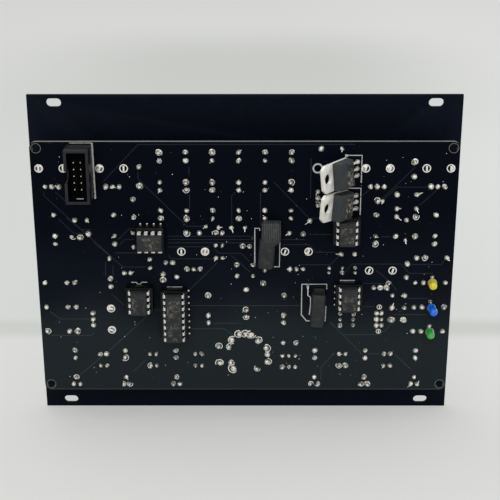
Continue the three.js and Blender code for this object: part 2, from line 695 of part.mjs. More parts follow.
// The chips: how many legs each has, where it sits and how it is turned
function chipPlaces() {
  const xShares = [-0.224, 0.24, -0.254, -0.171, 0.25];
  const zShares = { first: 0.132, third: -0.1075, fourth: -0.171, fifth: -0.094 };
  const [x1, x2, x3, x4, x5] = xShares.map((share) => share * BOARD_WIDTH);
  const z = (place) => zShares[place] * BOARD_HEIGHT;
  const socketTop = REGULATOR_LOWER_Z - REGULATOR_WIDTH / 2 - REGULATOR_CHIP_GAP;
  const upperRight = socketTop - (SHORT_CHIP_PINS * PIN_PITCH) / 4;
  return [
    { name: "chip_1", pins: SHORT_CHIP_PINS, x: x1, z: z("first"), turn: -QUARTER_TURN },
    { name: "chip_2", pins: SHORT_CHIP_PINS, x: x2, z: upperRight, turn: 0 },
    { name: "chip_3", pins: SHORT_CHIP_PINS, x: x3, z: z("third"), turn: 0 },
    { name: "chip_4", pins: LONG_CHIP_PINS, x: x4, z: z("fourth"), turn: 0 },
    { name: "chip_5", pins: SHORT_CHIP_PINS, x: x5, z: z("fifth"), turn: 0 },
  ];
}

// A jack's housing, bush and nut, from where it is seated.
function jackPieces(seat) {
  const middle = (JACK_SLEEVE_SIDE - JACK_TIP_SIDE) / 2;
  const top = -JACK_PANEL_GAP;
  const nutSeat = PANEL_THICKNESS + SEAT_GAP;
  const mouth = nutSeat + JACK_NUT_THICKNESS;
  return [
    block(JACK_WIDTH, JACK_TIP_SIDE + JACK_SLEEVE_SIDE, seat, top, 0, middle),
    bar(JACK_BUSH_RADIUS, top - OVERRUN, mouth, 0, 0, SMALL_SIDES),
    bar(JACK_NUT_RADIUS, nutSeat, mouth, 0, 0, SMALL_SIDES),
  ];
}

function plugBore() {
  const mouth = PANEL_THICKNESS + SEAT_GAP + JACK_NUT_THICKNESS;
  const floor = BOARD_FRONT + SEAT_GAP + JACK_FLOOR;
  return bar(PLUG_BORE_RADIUS, floor, mouth + OVERRUN, 0, 0, SMALL_SIDES);
}

// Circuit board with its joints, and the housings and sockets soldered to it
function boardCuts() {
  const holes = grid(
    BOARD_WIDTH - 2 * BOARD_HOLE_INSET,
    2,
    BOARD_HEIGHT - 2 * BOARD_HOLE_INSET,
    2,
  ).map(([x, z]) =>
    bar(BOARD_HOLE_RADIUS, BOARD_REAR - OVERRUN, BOARD_FRONT + OVERRUN, x, z, SMALL_SIDES),
  );
  const ringPad = { x: GRID_SHIFT + GRID_HALF + RING_PAD_GAP, z: TOP_ROW };
  const ringHole = bar(RING_PAD_RADIUS, BOARD_REAR - OVERRUN, BOARD_FRONT + OVERRUN);
  return [
    ...holes,
    ...placed([ringHole], ringPad),
    ...potPlaces().flatMap((place) => placed([shaftBore()], place)),
    ...boardJackPlaces().flatMap((place) => placed([plugBore()], place)),
    ...[...buttonPlaces(), tactPlace()].flatMap((place) => placed([stemWell()], place)),
    ...placed([slideWell()], slidePlace()),
    ...chipPlaces().flatMap((place) => placed(socketGrooves(place.pins), place, BOARD_REAR)),
  ];
}

function circuitBoard() {
  const outline = roundedOutline(BOARD_WIDTH, BOARD_HEIGHT, BOARD_CORNER_RADIUS);
  const pieces = [
    slab(outline, BOARD_REAR, BOARD_FRONT),
    ...joints(),
    ...potPlaces().flatMap((place) => placed(potPieces(), place)),
    ...boardJackPlaces().flatMap((place) => placed(jackPieces(BOARD_FRONT - OVERRUN), place)),
    ...[...buttonPlaces(), tactPlace()].flatMap((place) => placed(pushSwitchPieces(), place)),
    ...placed(slideSwitchPieces(), slidePlace()),
    ...frontLampPlaces().flatMap((place) => placed(frontLampPieces(), place)),
    ...chipPlaces().flatMap((place) => placed(socketPieces(place.pins), place, BOARD_REAR)),
  ];
  return namedMesh("circuit_board", shaped(pieces, boardCuts()), "mask");
}

// Jack: housing, threaded bush, nut flush with the bush's end, and plug bore
function jacks() {
  const geometry = shaped(jackPieces(BOARD_FRONT + SEAT_GAP), [plugBore()]);
  return jackPlaces().map(({ name, x, z, turn }) => {
    const mesh = namedMesh(name, geometry, "moulding");
    mesh.position.set(x, 0, z);
    mesh.rotation.y = turn;
    return mesh;
  });
}

// A turned knob along +Y with a pointer groove at its top, on the shaft that it turns
function knobGeometry({ radius, topRadius, height, base, shaft, sides }) {
  const top = base + height;
  const outline = [
    [0, base],
    [radius, base],
    [radius, base + KNOB_SKIRT],
    [topRadius, top - KNOB_EDGE],
    [topRadius - KNOB_EDGE, top],
    [0, top],
  ].map(([x, y]) => new THREE.Vector2(x, y));
  const body = new THREE.LatheGeometry(outline, sides);
  const stub = bar(SHAFT_RADIUS, base - shaft, base + OVERRUN, 0, 0, SMALL_SIDES);
  const groove = block(
    POINTER_WIDTH,
    topRadius,
    top - POINTER_DEPTH,
    top + OVERRUN,
    0,
    topRadius / 2 + POINTER_WIDTH,
  );
  return shaped([body, stub], [groove]);
}

function knobs() {
  const mouth = PANEL_THICKNESS + POT_BUSH_PROUD;
  const geometry = knobGeometry({
    radius: KNOB_RADIUS,
    topRadius: KNOB_TOP_RADIUS,
    height: KNOB_HEIGHT,
    base: mouth + KNOB_LIFT,
    shaft: KNOB_LIFT + SHAFT_ENTRY,
    sides: ROUND_SIDES,
  });
  return potPlaces().map(({ x, z }, i) => {
    const mesh = namedMesh(`knob_${i + 1}`, geometry, "knob");
    mesh.position.set(x, 0, z);
    return mesh;
  });
}

// Rotary switch: round housing with a flat for its two common pins, bush and nut
function rotarySwitch() {
  const seat = BOARD_FRONT + SEAT_GAP;
  const top = -ROTARY_PANEL_GAP;
  const nutSeat = PANEL_THICKNESS + SEAT_GAP;
  const pieces = [
    bar(ROTARY_RADIUS, seat, top, 0, 0, DRUM_SIDES),
    bar(ROTARY_BUSH_RADIUS, seat, PANEL_THICKNESS + POT_BUSH_PROUD),
    bar(ROTARY_NUT_RADIUS, nutSeat, nutSeat + POT_NUT_THICKNESS, 0, 0, HEX_SIDES),
  ];
  const mesh = namedMesh("rotary_switch", shaped(pieces, [shaftBore()]), "moulding");
  mesh.position.set(ROTARY_SHIFT, 0, ROTARY_ROW);
  return mesh;
}

function rotaryKnob() {
  const geometry = knobGeometry({
    radius: ROTARY_KNOB_RADIUS,
    topRadius: ROTARY_KNOB_TOP_RADIUS,
    height: ROTARY_KNOB_HEIGHT,
    base: PANEL_THICKNESS + POT_BUSH_PROUD + KNOB_LIFT,
    shaft: KNOB_LIFT + SHAFT_ENTRY,
    sides: DRUM_SIDES,
  });
  const mesh = namedMesh("rotary_knob", geometry, "knob");
  mesh.position.set(ROTARY_SHIFT, 0, ROTARY_ROW);
  return mesh;
}

// Push button: a cap through the panel on a stem that reaches into the switch
function buttonGeometry() {
  const tip = PANEL_THICKNESS + BUTTON_PROUD;
  const foot = BOARD_FRONT + SWITCH_HEIGHT - SWITCH_WELL_DEPTH + BUTTON_TRAVEL + SEAT_GAP;
  return shaped([
    bar(BUTTON_RADIUS, tip - BUTTON_LENGTH, tip, 0, 0, SMALL_SIDES),
    bar(STEM_RADIUS, foot, tip - OVERRUN, 0, 0, SMALL_SIDES),
  ]);
}

function buttons() {
  const geometry = buttonGeometry();
  const places = [...buttonPlaces(), { name: "tact_button", ...tactPlace() }];
  return places.map(({ name, x, z }) => {
    const mesh = namedMesh(name, geometry, "knob");
    mesh.position.set(x, 0, z);
    return mesh;
  });
}

// Toggle switch: housing, bush and nut, with the bore that its lever swings in
function toggleSwitch() {
  const seat = BOARD_FRONT + SEAT_GAP;
  const mouth = PANEL_THICKNESS + TOGGLE_BUSH_PROUD;
  const nutSeat = PANEL_THICKNESS + SEAT_GAP;
  const pieces = [
    block(TOGGLE_WIDTH, TOGGLE_LENGTH, seat, seat + TOGGLE_HEIGHT),
    bar(TOGGLE_BUSH_RADIUS, seat, mouth, 0, 0, SMALL_SIDES),
    bar(TOGGLE_NUT_RADIUS, nutSeat, nutSeat + TOGGLE_NUT_THICKNESS, 0, 0, HEX_SIDES),
  ];
  const bore = bar(TOGGLE_BORE_RADIUS, mouth - TOGGLE_BORE_DEPTH, mouth + OVERRUN, 0, 0, SMALL_SIDES);
  const mesh = namedMesh("toggle_switch", shaped(pieces, [bore]), "nickel");
  const { x, z } = togglePlace();
  mesh.position.set(x, 0, z);
  return mesh;
}

// Lever: a tapered stick on a ball that sits at the bottom of the bore, thrown to its upper side
function toggleLever() {
  const pivot = PANEL_THICKNESS + TOGGLE_BUSH_PROUD - TOGGLE_BORE_DEPTH + LEVER_BALL_RADIUS + SEAT_GAP;
  const ball = new THREE.SphereGeometry(LEVER_BALL_RADIUS, SMALL_SIDES, HEX_SIDES);
  const reach = TOGGLE_BORE_DEPTH + LEVER_REACH;
  const stick = new THREE.CylinderGeometry(LEVER_TIP_RADIUS, LEVER_RADIUS, reach, SMALL_SIDES);
  const mesh = namedMesh("toggle_lever", shaped([ball, stick.translate(0, reach / 2, 0)]), "nickel");
  const { x, z } = togglePlace();
  mesh.position.set(x, pivot, z);
  mesh.rotation.x = LEVER_LEAN;
  return mesh;
}

// Slide lever: a square post from the switch's well to the front, at the lower end of its travel
function slideLever() {
  const foot = BOARD_FRONT + SLIDE_HEIGHT - SLIDE_WELL_DEPTH + SLIDE_CLEARANCE;
  const post = block(SLIDE_KNOB, SLIDE_KNOB, foot, PANEL_THICKNESS + SLIDE_PROUD);
  const mesh = namedMesh("slide_lever", shaped([post]), "knob");
  const { x, z } = slidePlace();
  mesh.position.set(x, 0, z - SLIDE_TRAVEL / 2);
  return mesh;
}

// Power header: an open shroud with a key notch in its left wall, round two rows of pins
function powerHeader() {
  const rim = -HEADER_HEIGHT;
  const floor = -HEADER_FLOOR;
  const shroud = block(HEADER_WIDTH, HEADER_LENGTH, rim, -SEAT_GAP);
  const innerWidth = HEADER_WIDTH - 2 * HEADER_WALL;
  const cavity = block(innerWidth, HEADER_LENGTH - 2 * HEADER_WALL, rim - OVERRUN, floor);
  const notch = block(
    HEADER_WALL + OVERRUN,
    HEADER_KEY,
    rim - OVERRUN,
    floor,
    (HEADER_WALL - HEADER_WIDTH - OVERRUN) / 2,
  );
  const body = joined([shroud]).subtract(joined([cavity, notch]));
  const tip = HEADER_PIN_TIP;
  const pins = grid(PIN_PITCH, 2, PIN_PITCH, HEADER_ROWS).flatMap(([x, z]) => [
    block(HEADER_PIN_SIDE, HEADER_PIN_SIDE, tip - HEADER_PIN_HEIGHT, floor + OVERRUN, x, z),
    pinTip().translate(x, tip - HEADER_PIN_HEIGHT, z),
  ]);
  const mesh = namedMesh("power_header", geometryOf(body.add(joined(pins))), "moulding");
  mesh.position.set(HEADER_X, BOARD_REAR, HEADER_Z);
  return mesh;
}

// The tapered end of a square pin, pointing along -Y.
function pinTip() {
  const corner = HEADER_PIN_SIDE / Math.SQRT2;
  const taper = new THREE.CylinderGeometry(corner, corner / 2, HEADER_PIN_TIP, 4);
  return taper.rotateY(QUARTER_TURN / 2).translate(0, -HEADER_PIN_TIP / 2, 0);
}

// Chip: a drafted body with a half-round notch at its pin-one end, on legs bent down at its sides
function chipBody(length) {
  const half = CHIP_THICKNESS / 2;
  const draft = CHIP_DRAFT;
  const section = [
    [-CHIP_WIDTH / 2, 0],
    [draft - CHIP_WIDTH / 2, -half],
    [CHIP_WIDTH / 2 - draft, -half],
    [CHIP_WIDTH / 2, 0],
    [CHIP_WIDTH / 2 - draft, half],
    [draft - CHIP_WIDTH / 2, half],
  ].map(([x, y]) => new THREE.Vector2(x, y));
  const body = new THREE.ExtrudeGeometry(new THREE.Shape(section), {
    depth: length,
    bevelEnabled: false,
  });
  return body.translate(0, 0, -length / 2);
}

// A row's leg leaves the body's side and bends down: an angle drawn out by the leg's width.
function chipLegs(pinCount, centre) {
  const tip = LEG_ENTRY - SOCKET_HEIGHT;
  const inner = CHIP_WIDTH / 2 - CHIP_DRAFT;
  const outer = (ROW_SPACING + LEG_THICKNESS) / 2;
  const strip = LEG_THICKNESS / 2;
  const outline = [
    [inner, centre - strip],
    [outer, centre - strip],
    [outer, tip],
    [outer - LEG_THICKNESS, tip],
    [outer - LEG_THICKNESS, centre + strip],
    [inner, centre + strip],
  ].map(([x, y]) => new THREE.Vector2(x, y));
  const leg = new THREE.ExtrudeGeometry(new THREE.Shape(outline), {
    depth: LEG_WIDTH,
    bevelEnabled: false,
  }).translate(0, 0, -LEG_WIDTH / 2);
  return grid(ROW_SPACING, 2, PIN_PITCH, pinCount / 2).flatMap(([x, z]) =>
    placed([leg], { x: 0, z, turn: x > 0 ? 0 : 2 * QUARTER_TURN }),
  );
}

function chips() {
  return chipPlaces().map(({ name, pins, x, z, turn }) => {
    const length = (pins / 2) * PIN_PITCH - 2 * CHIP_END_MARGIN;
    const centre = -(SOCKET_HEIGHT + CHIP_LIFT + CHIP_THICKNESS / 2);
    const face = centre - CHIP_THICKNESS / 2;
    const notch = bar(CHIP_NOTCH_RADIUS, face - OVERRUN, face + OVERRUN, 0, length / 2);
    const pieces = [chipBody(length).translate(0, centre, 0), ...chipLegs(pins, centre)];
    const mesh = namedMesh(name, shaped(pieces, [notch]), "moulding");
    mesh.position.set(x, BOARD_REAR, z);
    mesh.rotation.y = turn;
    return mesh;
  });
}

// Regulator: moulded body on a metal tab with a screw hole, leaning to the left on three bent legs.
// Its local frame has the legs at the origin, the length along -X and the printed face towards -Y.
function regulatorTab() {
  const reach = REGULATOR_LEG + REGULATOR_BODY + TAB_REACH;
  const half = REGULATOR_WIDTH / 2;
  const outline = [
    [-REGULATOR_LEG, -half],
    [-REGULATOR_LEG, half],
    [TAB_CHAMFER - reach, half],
    [-reach, half - TAB_CHAMFER],
    [-reach, TAB_CHAMFER - half],
    [TAB_CHAMFER - reach, -half],
  ].map(([x, z]) => new THREE.Vector2(x, z));
  return slab(outline.reverse(), 0, TAB_THICKNESS);
}

function regulatorBody() {
  const near = TAB_THICKNESS - REGULATOR_THICKNESS;
  const middle = -REGULATOR_LEG - REGULATOR_BODY / 2;
  const outline = [
    [-REGULATOR_BODY / 2, 0],
    [BODY_CHAMFER - REGULATOR_BODY / 2, near],
    [REGULATOR_BODY / 2 - BODY_CHAMFER, near],
    [REGULATOR_BODY / 2, 0],
    [REGULATOR_BODY / 2, TAB_THICKNESS / 2],
    [-REGULATOR_BODY / 2, TAB_THICKNESS / 2],
  ].map(([x, y]) => new THREE.Vector2(middle + x, y));
  const body = new THREE.ExtrudeGeometry(new THREE.Shape(outline), {
    depth: REGULATOR_WIDTH,
    bevelEnabled: false,
  });
  return body.translate(0, 0, -REGULATOR_WIDTH / 2);
}

function regulatorPieces() {
  const hole = bar(
    TAB_HOLE_RADIUS,
    -OVERRUN,
    TAB_THICKNESS + OVERRUN,
    TAB_HOLE_INSET - REGULATOR_LEG - REGULATOR_BODY - TAB_REACH,
  );
  const legs = grid(0, 1, PIN_PITCH, 3).map(([, z]) =>
    box(
      REGULATOR_LEG + OVERRUN,
      REGULATOR_LEG_THICKNESS,
      REGULATOR_LEG_WIDTH,
      -(REGULATOR_LEG + OVERRUN) / 2,
      TAB_THICKNESS - REGULATOR_LEG_DEPTH,
      z,
    ),
  );
  return { pieces: [regulatorTab(), regulatorBody(), ...legs], hole };
}

// The legs' upright ends, from the bend down into the board.
function regulatorStubs(bend) {
  return grid(0, 1, PIN_PITCH, 3).map(([, z]) =>
    block(REGULATOR_LEG_THICKNESS, REGULATOR_LEG_WIDTH, bend, -SEAT_GAP, 0, z),
  );
}

function regulators() {
  const { pieces, hole } = regulatorPieces();
  const legLine = TAB_THICKNESS - REGULATOR_LEG_DEPTH;
  const lean = new THREE.Matrix4().makeRotationZ(REGULATOR_LEAN);
  const toBend = new THREE.Matrix4().makeTranslation(0, -legLine, 0);
  const lift = new THREE.Matrix4().makeTranslation(0, -REGULATOR_STUB, 0);
  const matrix = lift.multiply(lean).multiply(toBend);
  const leaning = [...pieces, hole].map((piece) => piece.applyMatrix4(matrix));
  const stubs = regulatorStubs(-REGULATOR_STUB - REGULATOR_LEG_THICKNESS / 2);
  const geometry = shaped([...leaning.slice(0, -1), ...stubs], leaning.slice(-1));
  const heights = [REGULATOR_UPPER_Z, REGULATOR_LOWER_Z];
  return heights.map((z, i) => {
    const mesh = namedMesh(`regulator_${i + 1}`, geometry, "tab");
    mesh.position.set(REGULATOR_X, BOARD_REAR, z);
    return mesh;
  });
}

// A sleeve lying along Z: a rounded section drawn out between two heights.
function sleeve(width, bottom, top, x) {
  const outline = roundedOutline(width, SLEEVE_THICKNESS, SLEEVE_THICKNESS / 2 - SLEEVE_BEVEL);
  const body = new THREE.ExtrudeGeometry(new THREE.Shape(outline), {
    depth: top - bottom - 2 * SLEEVE_BEVEL,
    bevelThickness: SLEEVE_BEVEL,
    bevelSize: SLEEVE_BEVEL,
    bevelOffset: -SLEEVE_BEVEL,
    bevelSegments: 1,
  });
  const rise = SLEEVE_LIFT + SLEEVE_THICKNESS / 2;
  return body.translate(x, -rise, bottom + SLEEVE_BEVEL);
}

// Two leads out of a sleeve's end, bent down to the board.
function sleeveLeads(x, end, out) {
  const rise = SLEEVE_LIFT + SLEEVE_THICKNESS / 2;
  const bend = end + out * SLEEVE_LEAD_OUT;
  return grid(LEAD_PITCH, 2, 0, 1).flatMap(([dx]) => [
    box(LEAD_SIDE, LEAD_SIDE, SLEEVE_LEAD_OUT + OVERRUN, x + dx, -rise, (end + bend - out * OVERRUN) / 2),
    block(LEAD_SIDE, LEAD_SIDE, -rise - LEAD_SIDE / 2, -SEAT_GAP, x + dx, bend),
  ]);
}

function upperOptocoupler() {
  const step = UPPER_SLEEVE_TOP - UPPER_SLEEVE_HEAD;
  const end = step - UPPER_SLEEVE_TAIL;
  const tailX = UPPER_SLEEVE_X - UPPER_SLEEVE_HEAD_SHIFT;
  const pieces = [
    sleeve(UPPER_SLEEVE_HEAD_WIDTH, step, UPPER_SLEEVE_TOP, UPPER_SLEEVE_X),
    sleeve(UPPER_SLEEVE_TAIL_WIDTH, end, step + 2 * SLEEVE_BEVEL, tailX),
    ...sleeveLeads(UPPER_SLEEVE_X, UPPER_SLEEVE_TOP, 1),
    ...sleeveLeads(tailX, end, -1),
  ];
  const mesh = namedMesh("optocoupler_1", shaped(pieces), "sleeve");
  mesh.position.y = BOARD_REAR;
  return mesh;
}

function lowerOptocoupler() {
  const end = LOWER_SLEEVE_TOP - LOWER_SLEEVE_LENGTH;
  const pieces = [
    sleeve(LOWER_SLEEVE_WIDTH, end, LOWER_SLEEVE_TOP, LOWER_SLEEVE_X),
    ...sleeveLeads(LOWER_SLEEVE_X, LOWER_SLEEVE_TOP, 1),
    ...sleeveLeads(LOWER_SLEEVE_X, end, -1),
  ];
  const mesh = namedMesh("optocoupler_2", shaped(pieces), "sleeve");
  mesh.position.y = BOARD_REAR;
  return mesh;
}

// Rear lamps: three coloured lenses with flanges, on leads one above the other
function rearLamps() {
  const leads = grid(0, 1, LEAD_PITCH, 2).map(([, z]) =>
    block(LEAD_SIDE, LEAD_SIDE, -LAMP_SEAT - OVERRUN, -SEAT_GAP, 0, z),
  );
  const base = -LAMP_SEAT - LAMP_FLANGE;
  const flange = bar(LAMP_FLANGE_RADIUS, base, -LAMP_SEAT, 0, 0, SMALL_SIDES);
  const lens = lampLens(LAMP_LENGTH, SMALL_SIDES).translate(0, -LAMP_SEAT, 0);
  const geometry = shaped([lens, flange, ...leads]);
  const places = rearLampPlaces();
  return ["yellow", "blue", "green"].map((colour, i) => {
    const mesh = namedMesh(`lamp_${colour}`, geometry, colour);
    mesh.position.set(places[i].x, BOARD_REAR, places[i].z);
    return mesh;
  });
}

const boardGroup = new THREE.Group();
boardGroup.position.z = -BOARD_DROP;
boardGroup.add(
  circuitBoard(),
  powerHeader(),
  ...chips(),
  ...regulators(),
  upperOptocoupler(),
  lowerOptocoupler(),
  ...rearLamps(),
  ...jacks(),
  ...knobs(),
  rotarySwitch(),
  rotaryKnob(),
  ...buttons(),
  toggleSwitch(),
  toggleLever(),
  slideLever(),
);

const synthModule = new THREE.Group();
const centred = new THREE.Group();
centred.position.z = -SLOT_SPACING_Z / 2;
centred.add(frontPanel(), boardGroup);
synthModule.add(centred);

export default synthModule;
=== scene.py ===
"""Dresses a 32 HP synthesizer module that stands on its lower edge and is seen from behind.

Lengths are millimetres until a mesh is placed. Places on the circuit board count from its middle,
X to the right as seen from behind and Z up, and the back faces -Y.
"""

import logging
import math
import random
from collections.abc import Callable, Iterable, Iterator, Mapping, Sequence
from contextlib import contextmanager
from dataclasses import dataclass, field
from enum import Enum
from functools import cached_property

import bmesh
import bpy
from mathutils import Matrix, Vector, noise


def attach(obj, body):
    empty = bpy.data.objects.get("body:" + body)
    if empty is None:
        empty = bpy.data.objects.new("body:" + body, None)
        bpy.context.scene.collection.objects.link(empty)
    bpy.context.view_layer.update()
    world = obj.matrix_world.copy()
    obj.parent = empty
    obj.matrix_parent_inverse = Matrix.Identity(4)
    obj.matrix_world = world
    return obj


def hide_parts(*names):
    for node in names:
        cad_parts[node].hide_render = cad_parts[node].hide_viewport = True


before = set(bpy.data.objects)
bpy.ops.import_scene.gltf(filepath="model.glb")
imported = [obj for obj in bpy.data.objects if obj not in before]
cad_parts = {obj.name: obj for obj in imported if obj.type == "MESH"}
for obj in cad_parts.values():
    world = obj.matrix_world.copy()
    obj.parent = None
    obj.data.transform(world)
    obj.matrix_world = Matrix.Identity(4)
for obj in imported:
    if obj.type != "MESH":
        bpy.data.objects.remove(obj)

MM = 0.001
QUARTER = math.pi / 2
HALF_TURN = math.pi
FULL_TURN = 2 * math.pi
BOARD_MIDDLE = -61.75
BOARD_REAR = -12.7
BOARD_FRONT = -11.1
PANEL_FRONT = 1.6
PIN_PITCH = 2.54
OVERRUN = 1
FACING = 0.9
SPECULAR = "Specular IOR Level"

Colour = tuple[float, float, float, float]
Point = tuple[float, float, float]
Numbers = tuple[float, ...]
Material = bpy.types.Material
Span = tuple[float, float]
Route = Sequence[Span]
Test = Callable[[Vector, Vector], bool]

log = logging.getLogger("module")


def tone(red: int, green: int, blue: int) -> Colour:
    """Turns a colour of 0 to 255 as a screen shows it into the shader's own colour."""

    def linear(level: int) -> float:
        """Undoes the screen's curve for one channel."""
        share = level / 255
        return share / 12.92 if share <= 0.04045 else ((share + 0.055) / 1.055) ** 2.4

    return (linear(red), linear(green), linear(blue), 1.0)


def shift(x: float = 0, y: float = 0, z: float = 0) -> Matrix:
    """Returns the move by these lengths."""
    return Matrix.Translation(Vector((x, y, z)) * MM)


def spin(angle: float, axis: str = "Y") -> Matrix:
    """Returns the turn about an axis through the origin."""
    return Matrix.Rotation(angle, 4, axis)


def stretch(x: float, z: float) -> Matrix:
    """Returns the scaling across the board."""
    return Matrix.Diagonal((x, 1, z, 1))


@dataclass(frozen=True)
class Spot:
    """A place on the circuit board and a turn about Y."""

    x: float
    z: float
    turn: float = 0.0

    def matrix(self, rise: float = 0) -> Matrix:
        """Returns the move from a part's own origin to this place, with a rise along Y."""
        return shift(self.x, rise, self.z + BOARD_MIDDLE) @ spin(self.turn)

    def beside(self, x: float, z: float) -> "Spot":
        """Returns the place that lies x and z away, counted before this spot's turn."""
        cos, sin = math.cos(self.turn), math.sin(self.turn)
        return Spot(self.x + x * cos + z * sin, self.z - x * sin + z * cos, self.turn)


MIDDLE = Spot(0, 0)


# Shader maths


class Wire:
    """A shader socket on which arithmetic adds Math nodes."""

    def __init__(self, recipe: "Recipe", socket: bpy.types.NodeSocket) -> None:
        """Wraps one output socket of a recipe's node."""
        self.recipe = recipe
        self.socket = socket

    def _math(self, operation: str, *values: "Wire | float") -> "Wire":
        """Adds a Math node on the given values."""
        return self.recipe.add("ShaderNodeMath", {"operation": operation}, dict(enumerate(values)))

    def __add__(self, other: "Wire | float") -> "Wire":
        """Returns self + other."""
        return self._math("ADD", self, other)

    def __radd__(self, other: float) -> "Wire":
        """Returns other + self."""
        return self._math("ADD", other, self)

    def __sub__(self, other: "Wire | float") -> "Wire":
        """Returns self - other."""
        return self._math("SUBTRACT", self, other)

    def __rsub__(self, other: float) -> "Wire":
        """Returns other - self."""
        return self._math("SUBTRACT", other, self)

    def __mul__(self, other: "Wire | float") -> "Wire":
        """Returns self * other."""
        return self._math("MULTIPLY", self, other)

    def __rmul__(self, other: float) -> "Wire":
        """Returns other * self."""
        return self._math("MULTIPLY", other, self)

    def ramp(self, low: float, high: float) -> "Wire":
        """Returns 0 below low and 1 above high, with a smooth rise between."""
        settings = {"interpolation_type": "SMOOTHSTEP"}
        return self.recipe.add(
            "ShaderNodeMapRange", settings, {"Value": self, "From Min": low, "From Max": high}
        )

    def wave(self, pitch: float) -> "Wire":
        """Returns a wave of this length that swings from 0 to 1."""
        return self._math("SINE", self * (FULL_TURN / pitch)) * 0.5 + 0.5

    def within(self, middle: float, reach: float, soft: float) -> "Wire":
        """Returns 1 within reach of the middle, falling to 0 over the soft length."""
        away = self._math("ABSOLUTE", self - middle)
        return 1 - away.ramp(reach, reach + soft)


class Recipe:
    """A material under the brush: its nodes and short ways to add them."""

    def __init__(self, name: str) -> None:
        """Starts a material with one Principled shader."""
        self.material = bpy.data.materials.new(name)
        self.material.use_nodes = True
        self.tree = self.material.node_tree
        self.shader = self.tree.nodes["Principled BSDF"]

    def add(self, kind: str, settings: Mapping, inputs: Mapping, output: str | int = 0) -> Wire:
        """Adds a node.

        Args:
            kind: The node's type.
            settings: What is set on the node itself, first.
            inputs: Values or wires for its sockets, by name or number.
            output: The socket that is handed back.

        Returns:
            The wire that leaves the node.
        """
        node = self.tree.nodes.new(kind)
        for name, value in settings.items():
            setattr(node, name, value)
        for name, value in inputs.items():
            self._feed(node.inputs[name], value)
        return Wire(self, node.outputs[output])

    def _feed(self, socket: bpy.types.NodeSocket, value: object) -> None:
        """Links a wire to a socket, or sets the socket's own value."""
        if isinstance(value, Wire):
            self.tree.links.new(value.socket, socket)
        else:
            socket.default_value = value

    @cached_property
    def place(self) -> Wire:
        """Object coordinates in millimetres."""
        plain = self.add("ShaderNodeTexCoord", {}, {}, "Object")
        return self.add("ShaderNodeVectorMath", {"operation": "SCALE"}, {0: plain, "Scale": 1 / MM})

    def along(self, axis: str) -> Wire:
        """Returns the place along X, Y or Z in millimetres."""
        return self.add("ShaderNodeSeparateXYZ", {}, {0: self.place}, axis)

    def cloud(self, size: float, detail: float = 2, rough: float = 0.5) -> Wire:
        """Returns soft noise in patches of a size, with finer layers of a strength."""
        inputs = {"Vector": self.place, "Scale": 1 / size, "Detail": detail, "Roughness": rough}
        return self.add("ShaderNodeTexNoise", {}, inputs)

    def cells(self, size: float) -> Wire:
        """Returns the distance to scattered points, a size apart."""
        inputs = {"Vector": self.place, "Scale": 1 / size}
        return self.add("ShaderNodeTexVoronoi", {}, inputs, "Distance")

    def blend(self, share: Wire, low: "Wire | Colour", high: "Wire | Colour") -> Wire:
        """Returns a colour between two others."""
        return self.add("ShaderNodeMix", {"data_type": "RGBA"}, {0: share, 6: low, 7: high}, 2)

    def coat(
        self,
        colour: Wire,
        rough: "Wire | float",
        more: Mapping,
        height: Wire | None = None,
        relief: Span = (0, 0),
    ) -> Material:
        """Feeds the shader's own sockets.

        Args:
            colour: The base colour.
            rough: The roughness.
            more: What goes into its other sockets, by name.
            height: The surface's height from 0 to 1, where it has a relief.
            relief: How much of the relief is used, and its depth.

        Returns:
            The finished material.
        """
        sockets = {"Base Color": colour, "Roughness": rough, **more}
        if height is not None:
            strength, depth = relief
            inputs = {"Height": height, "Strength": strength, "Distance": depth * MM}
            sockets["Normal"] = self.add("ShaderNodeBump", {}, inputs)
        for name, value in sockets.items():
            self._feed(self.shader.inputs[name], value)
        return self.material


# Finishes


@dataclass(frozen=True)
class SolderMask:
    """Glossy black lacquer over copper, paler towards the lower edge from a painted reflection of the
    floor, with specks of dust.
    """

    name: str = "solder_mask"
    upper: Colour = tone(5, 9, 19)
    middle: Colour = tone(14, 19, 28)
    lower: Colour = tone(35, 41, 45)
    dust: Colour = tone(120, 122, 120)
    upper_band: Span = (24, -8)
    lower_band: Span = (-4, -27)
    reflection_patch: float = 26
    reflection_sway: float = 16
    speck_gap: float = 2.6
    speck: Span = (0.05, 0.03)
    dusty_patch: float = 9
    dusty: Span = (0.5, 0.62)
    sheen_patch: float = 3
    grain: float = 0.8
    relief: Span = (0.25, 0.02)

    def material(self) -> Material:
        """Paints the lacquer with its painted floor reflection and its dust."""
        r = Recipe(self.name)
        # Painted reflection: the upper, middle and lower colours grow paler downwards, where the floor
        # would be reflected.
        height = r.along("Z") - BOARD_MIDDLE + (r.cloud(self.reflection_patch, 1) - 0.5) * self.reflection_sway
        painted_reflection = r.blend(height.ramp(*self.upper_band), self.upper, self.middle)
        painted_reflection = r.blend(height.ramp(*self.lower_band), painted_reflection, self.lower)
        dusty = r.cloud(self.dusty_patch, 1).ramp(*self.dusty)
        colour = r.blend(r.cells(self.speck_gap).ramp(*self.speck) * dusty * 0.5, painted_reflection, self.dust)
        rough = 0.3 + r.cloud(self.sheen_patch) * 0.16
        return r.coat(colour, rough, {SPECULAR: 0.03}, r.cloud(self.grain), self.relief)


@dataclass(frozen=True)
class Plastic:
    """Moulded plastic with a fine grain and slightly paler wear."""

    name: str
    colour: Colour
    wear: Colour
    rough: float = 0.45
    specular: float = 0.3
    grain: float = 0.35
    worn: Span = (0.5, 0.8)
    wear_patch: float = 4
    sheen_patch: float = 1.5
    relief: Span = (0.5, 0.03)

    def material(self) -> Material:
        """Paints the plastic."""
        r = Recipe(self.name)
        wear = r.cloud(self.wear_patch, 3).ramp(*self.worn) * 0.6
        colour = r.blend(wear, self.colour, self.wear)
        rough = self.rough + (r.cloud(self.sheen_patch) - 0.5) * 0.2
        return r.coat(colour, rough, {SPECULAR: self.specular}, r.cloud(self.grain), self.relief)


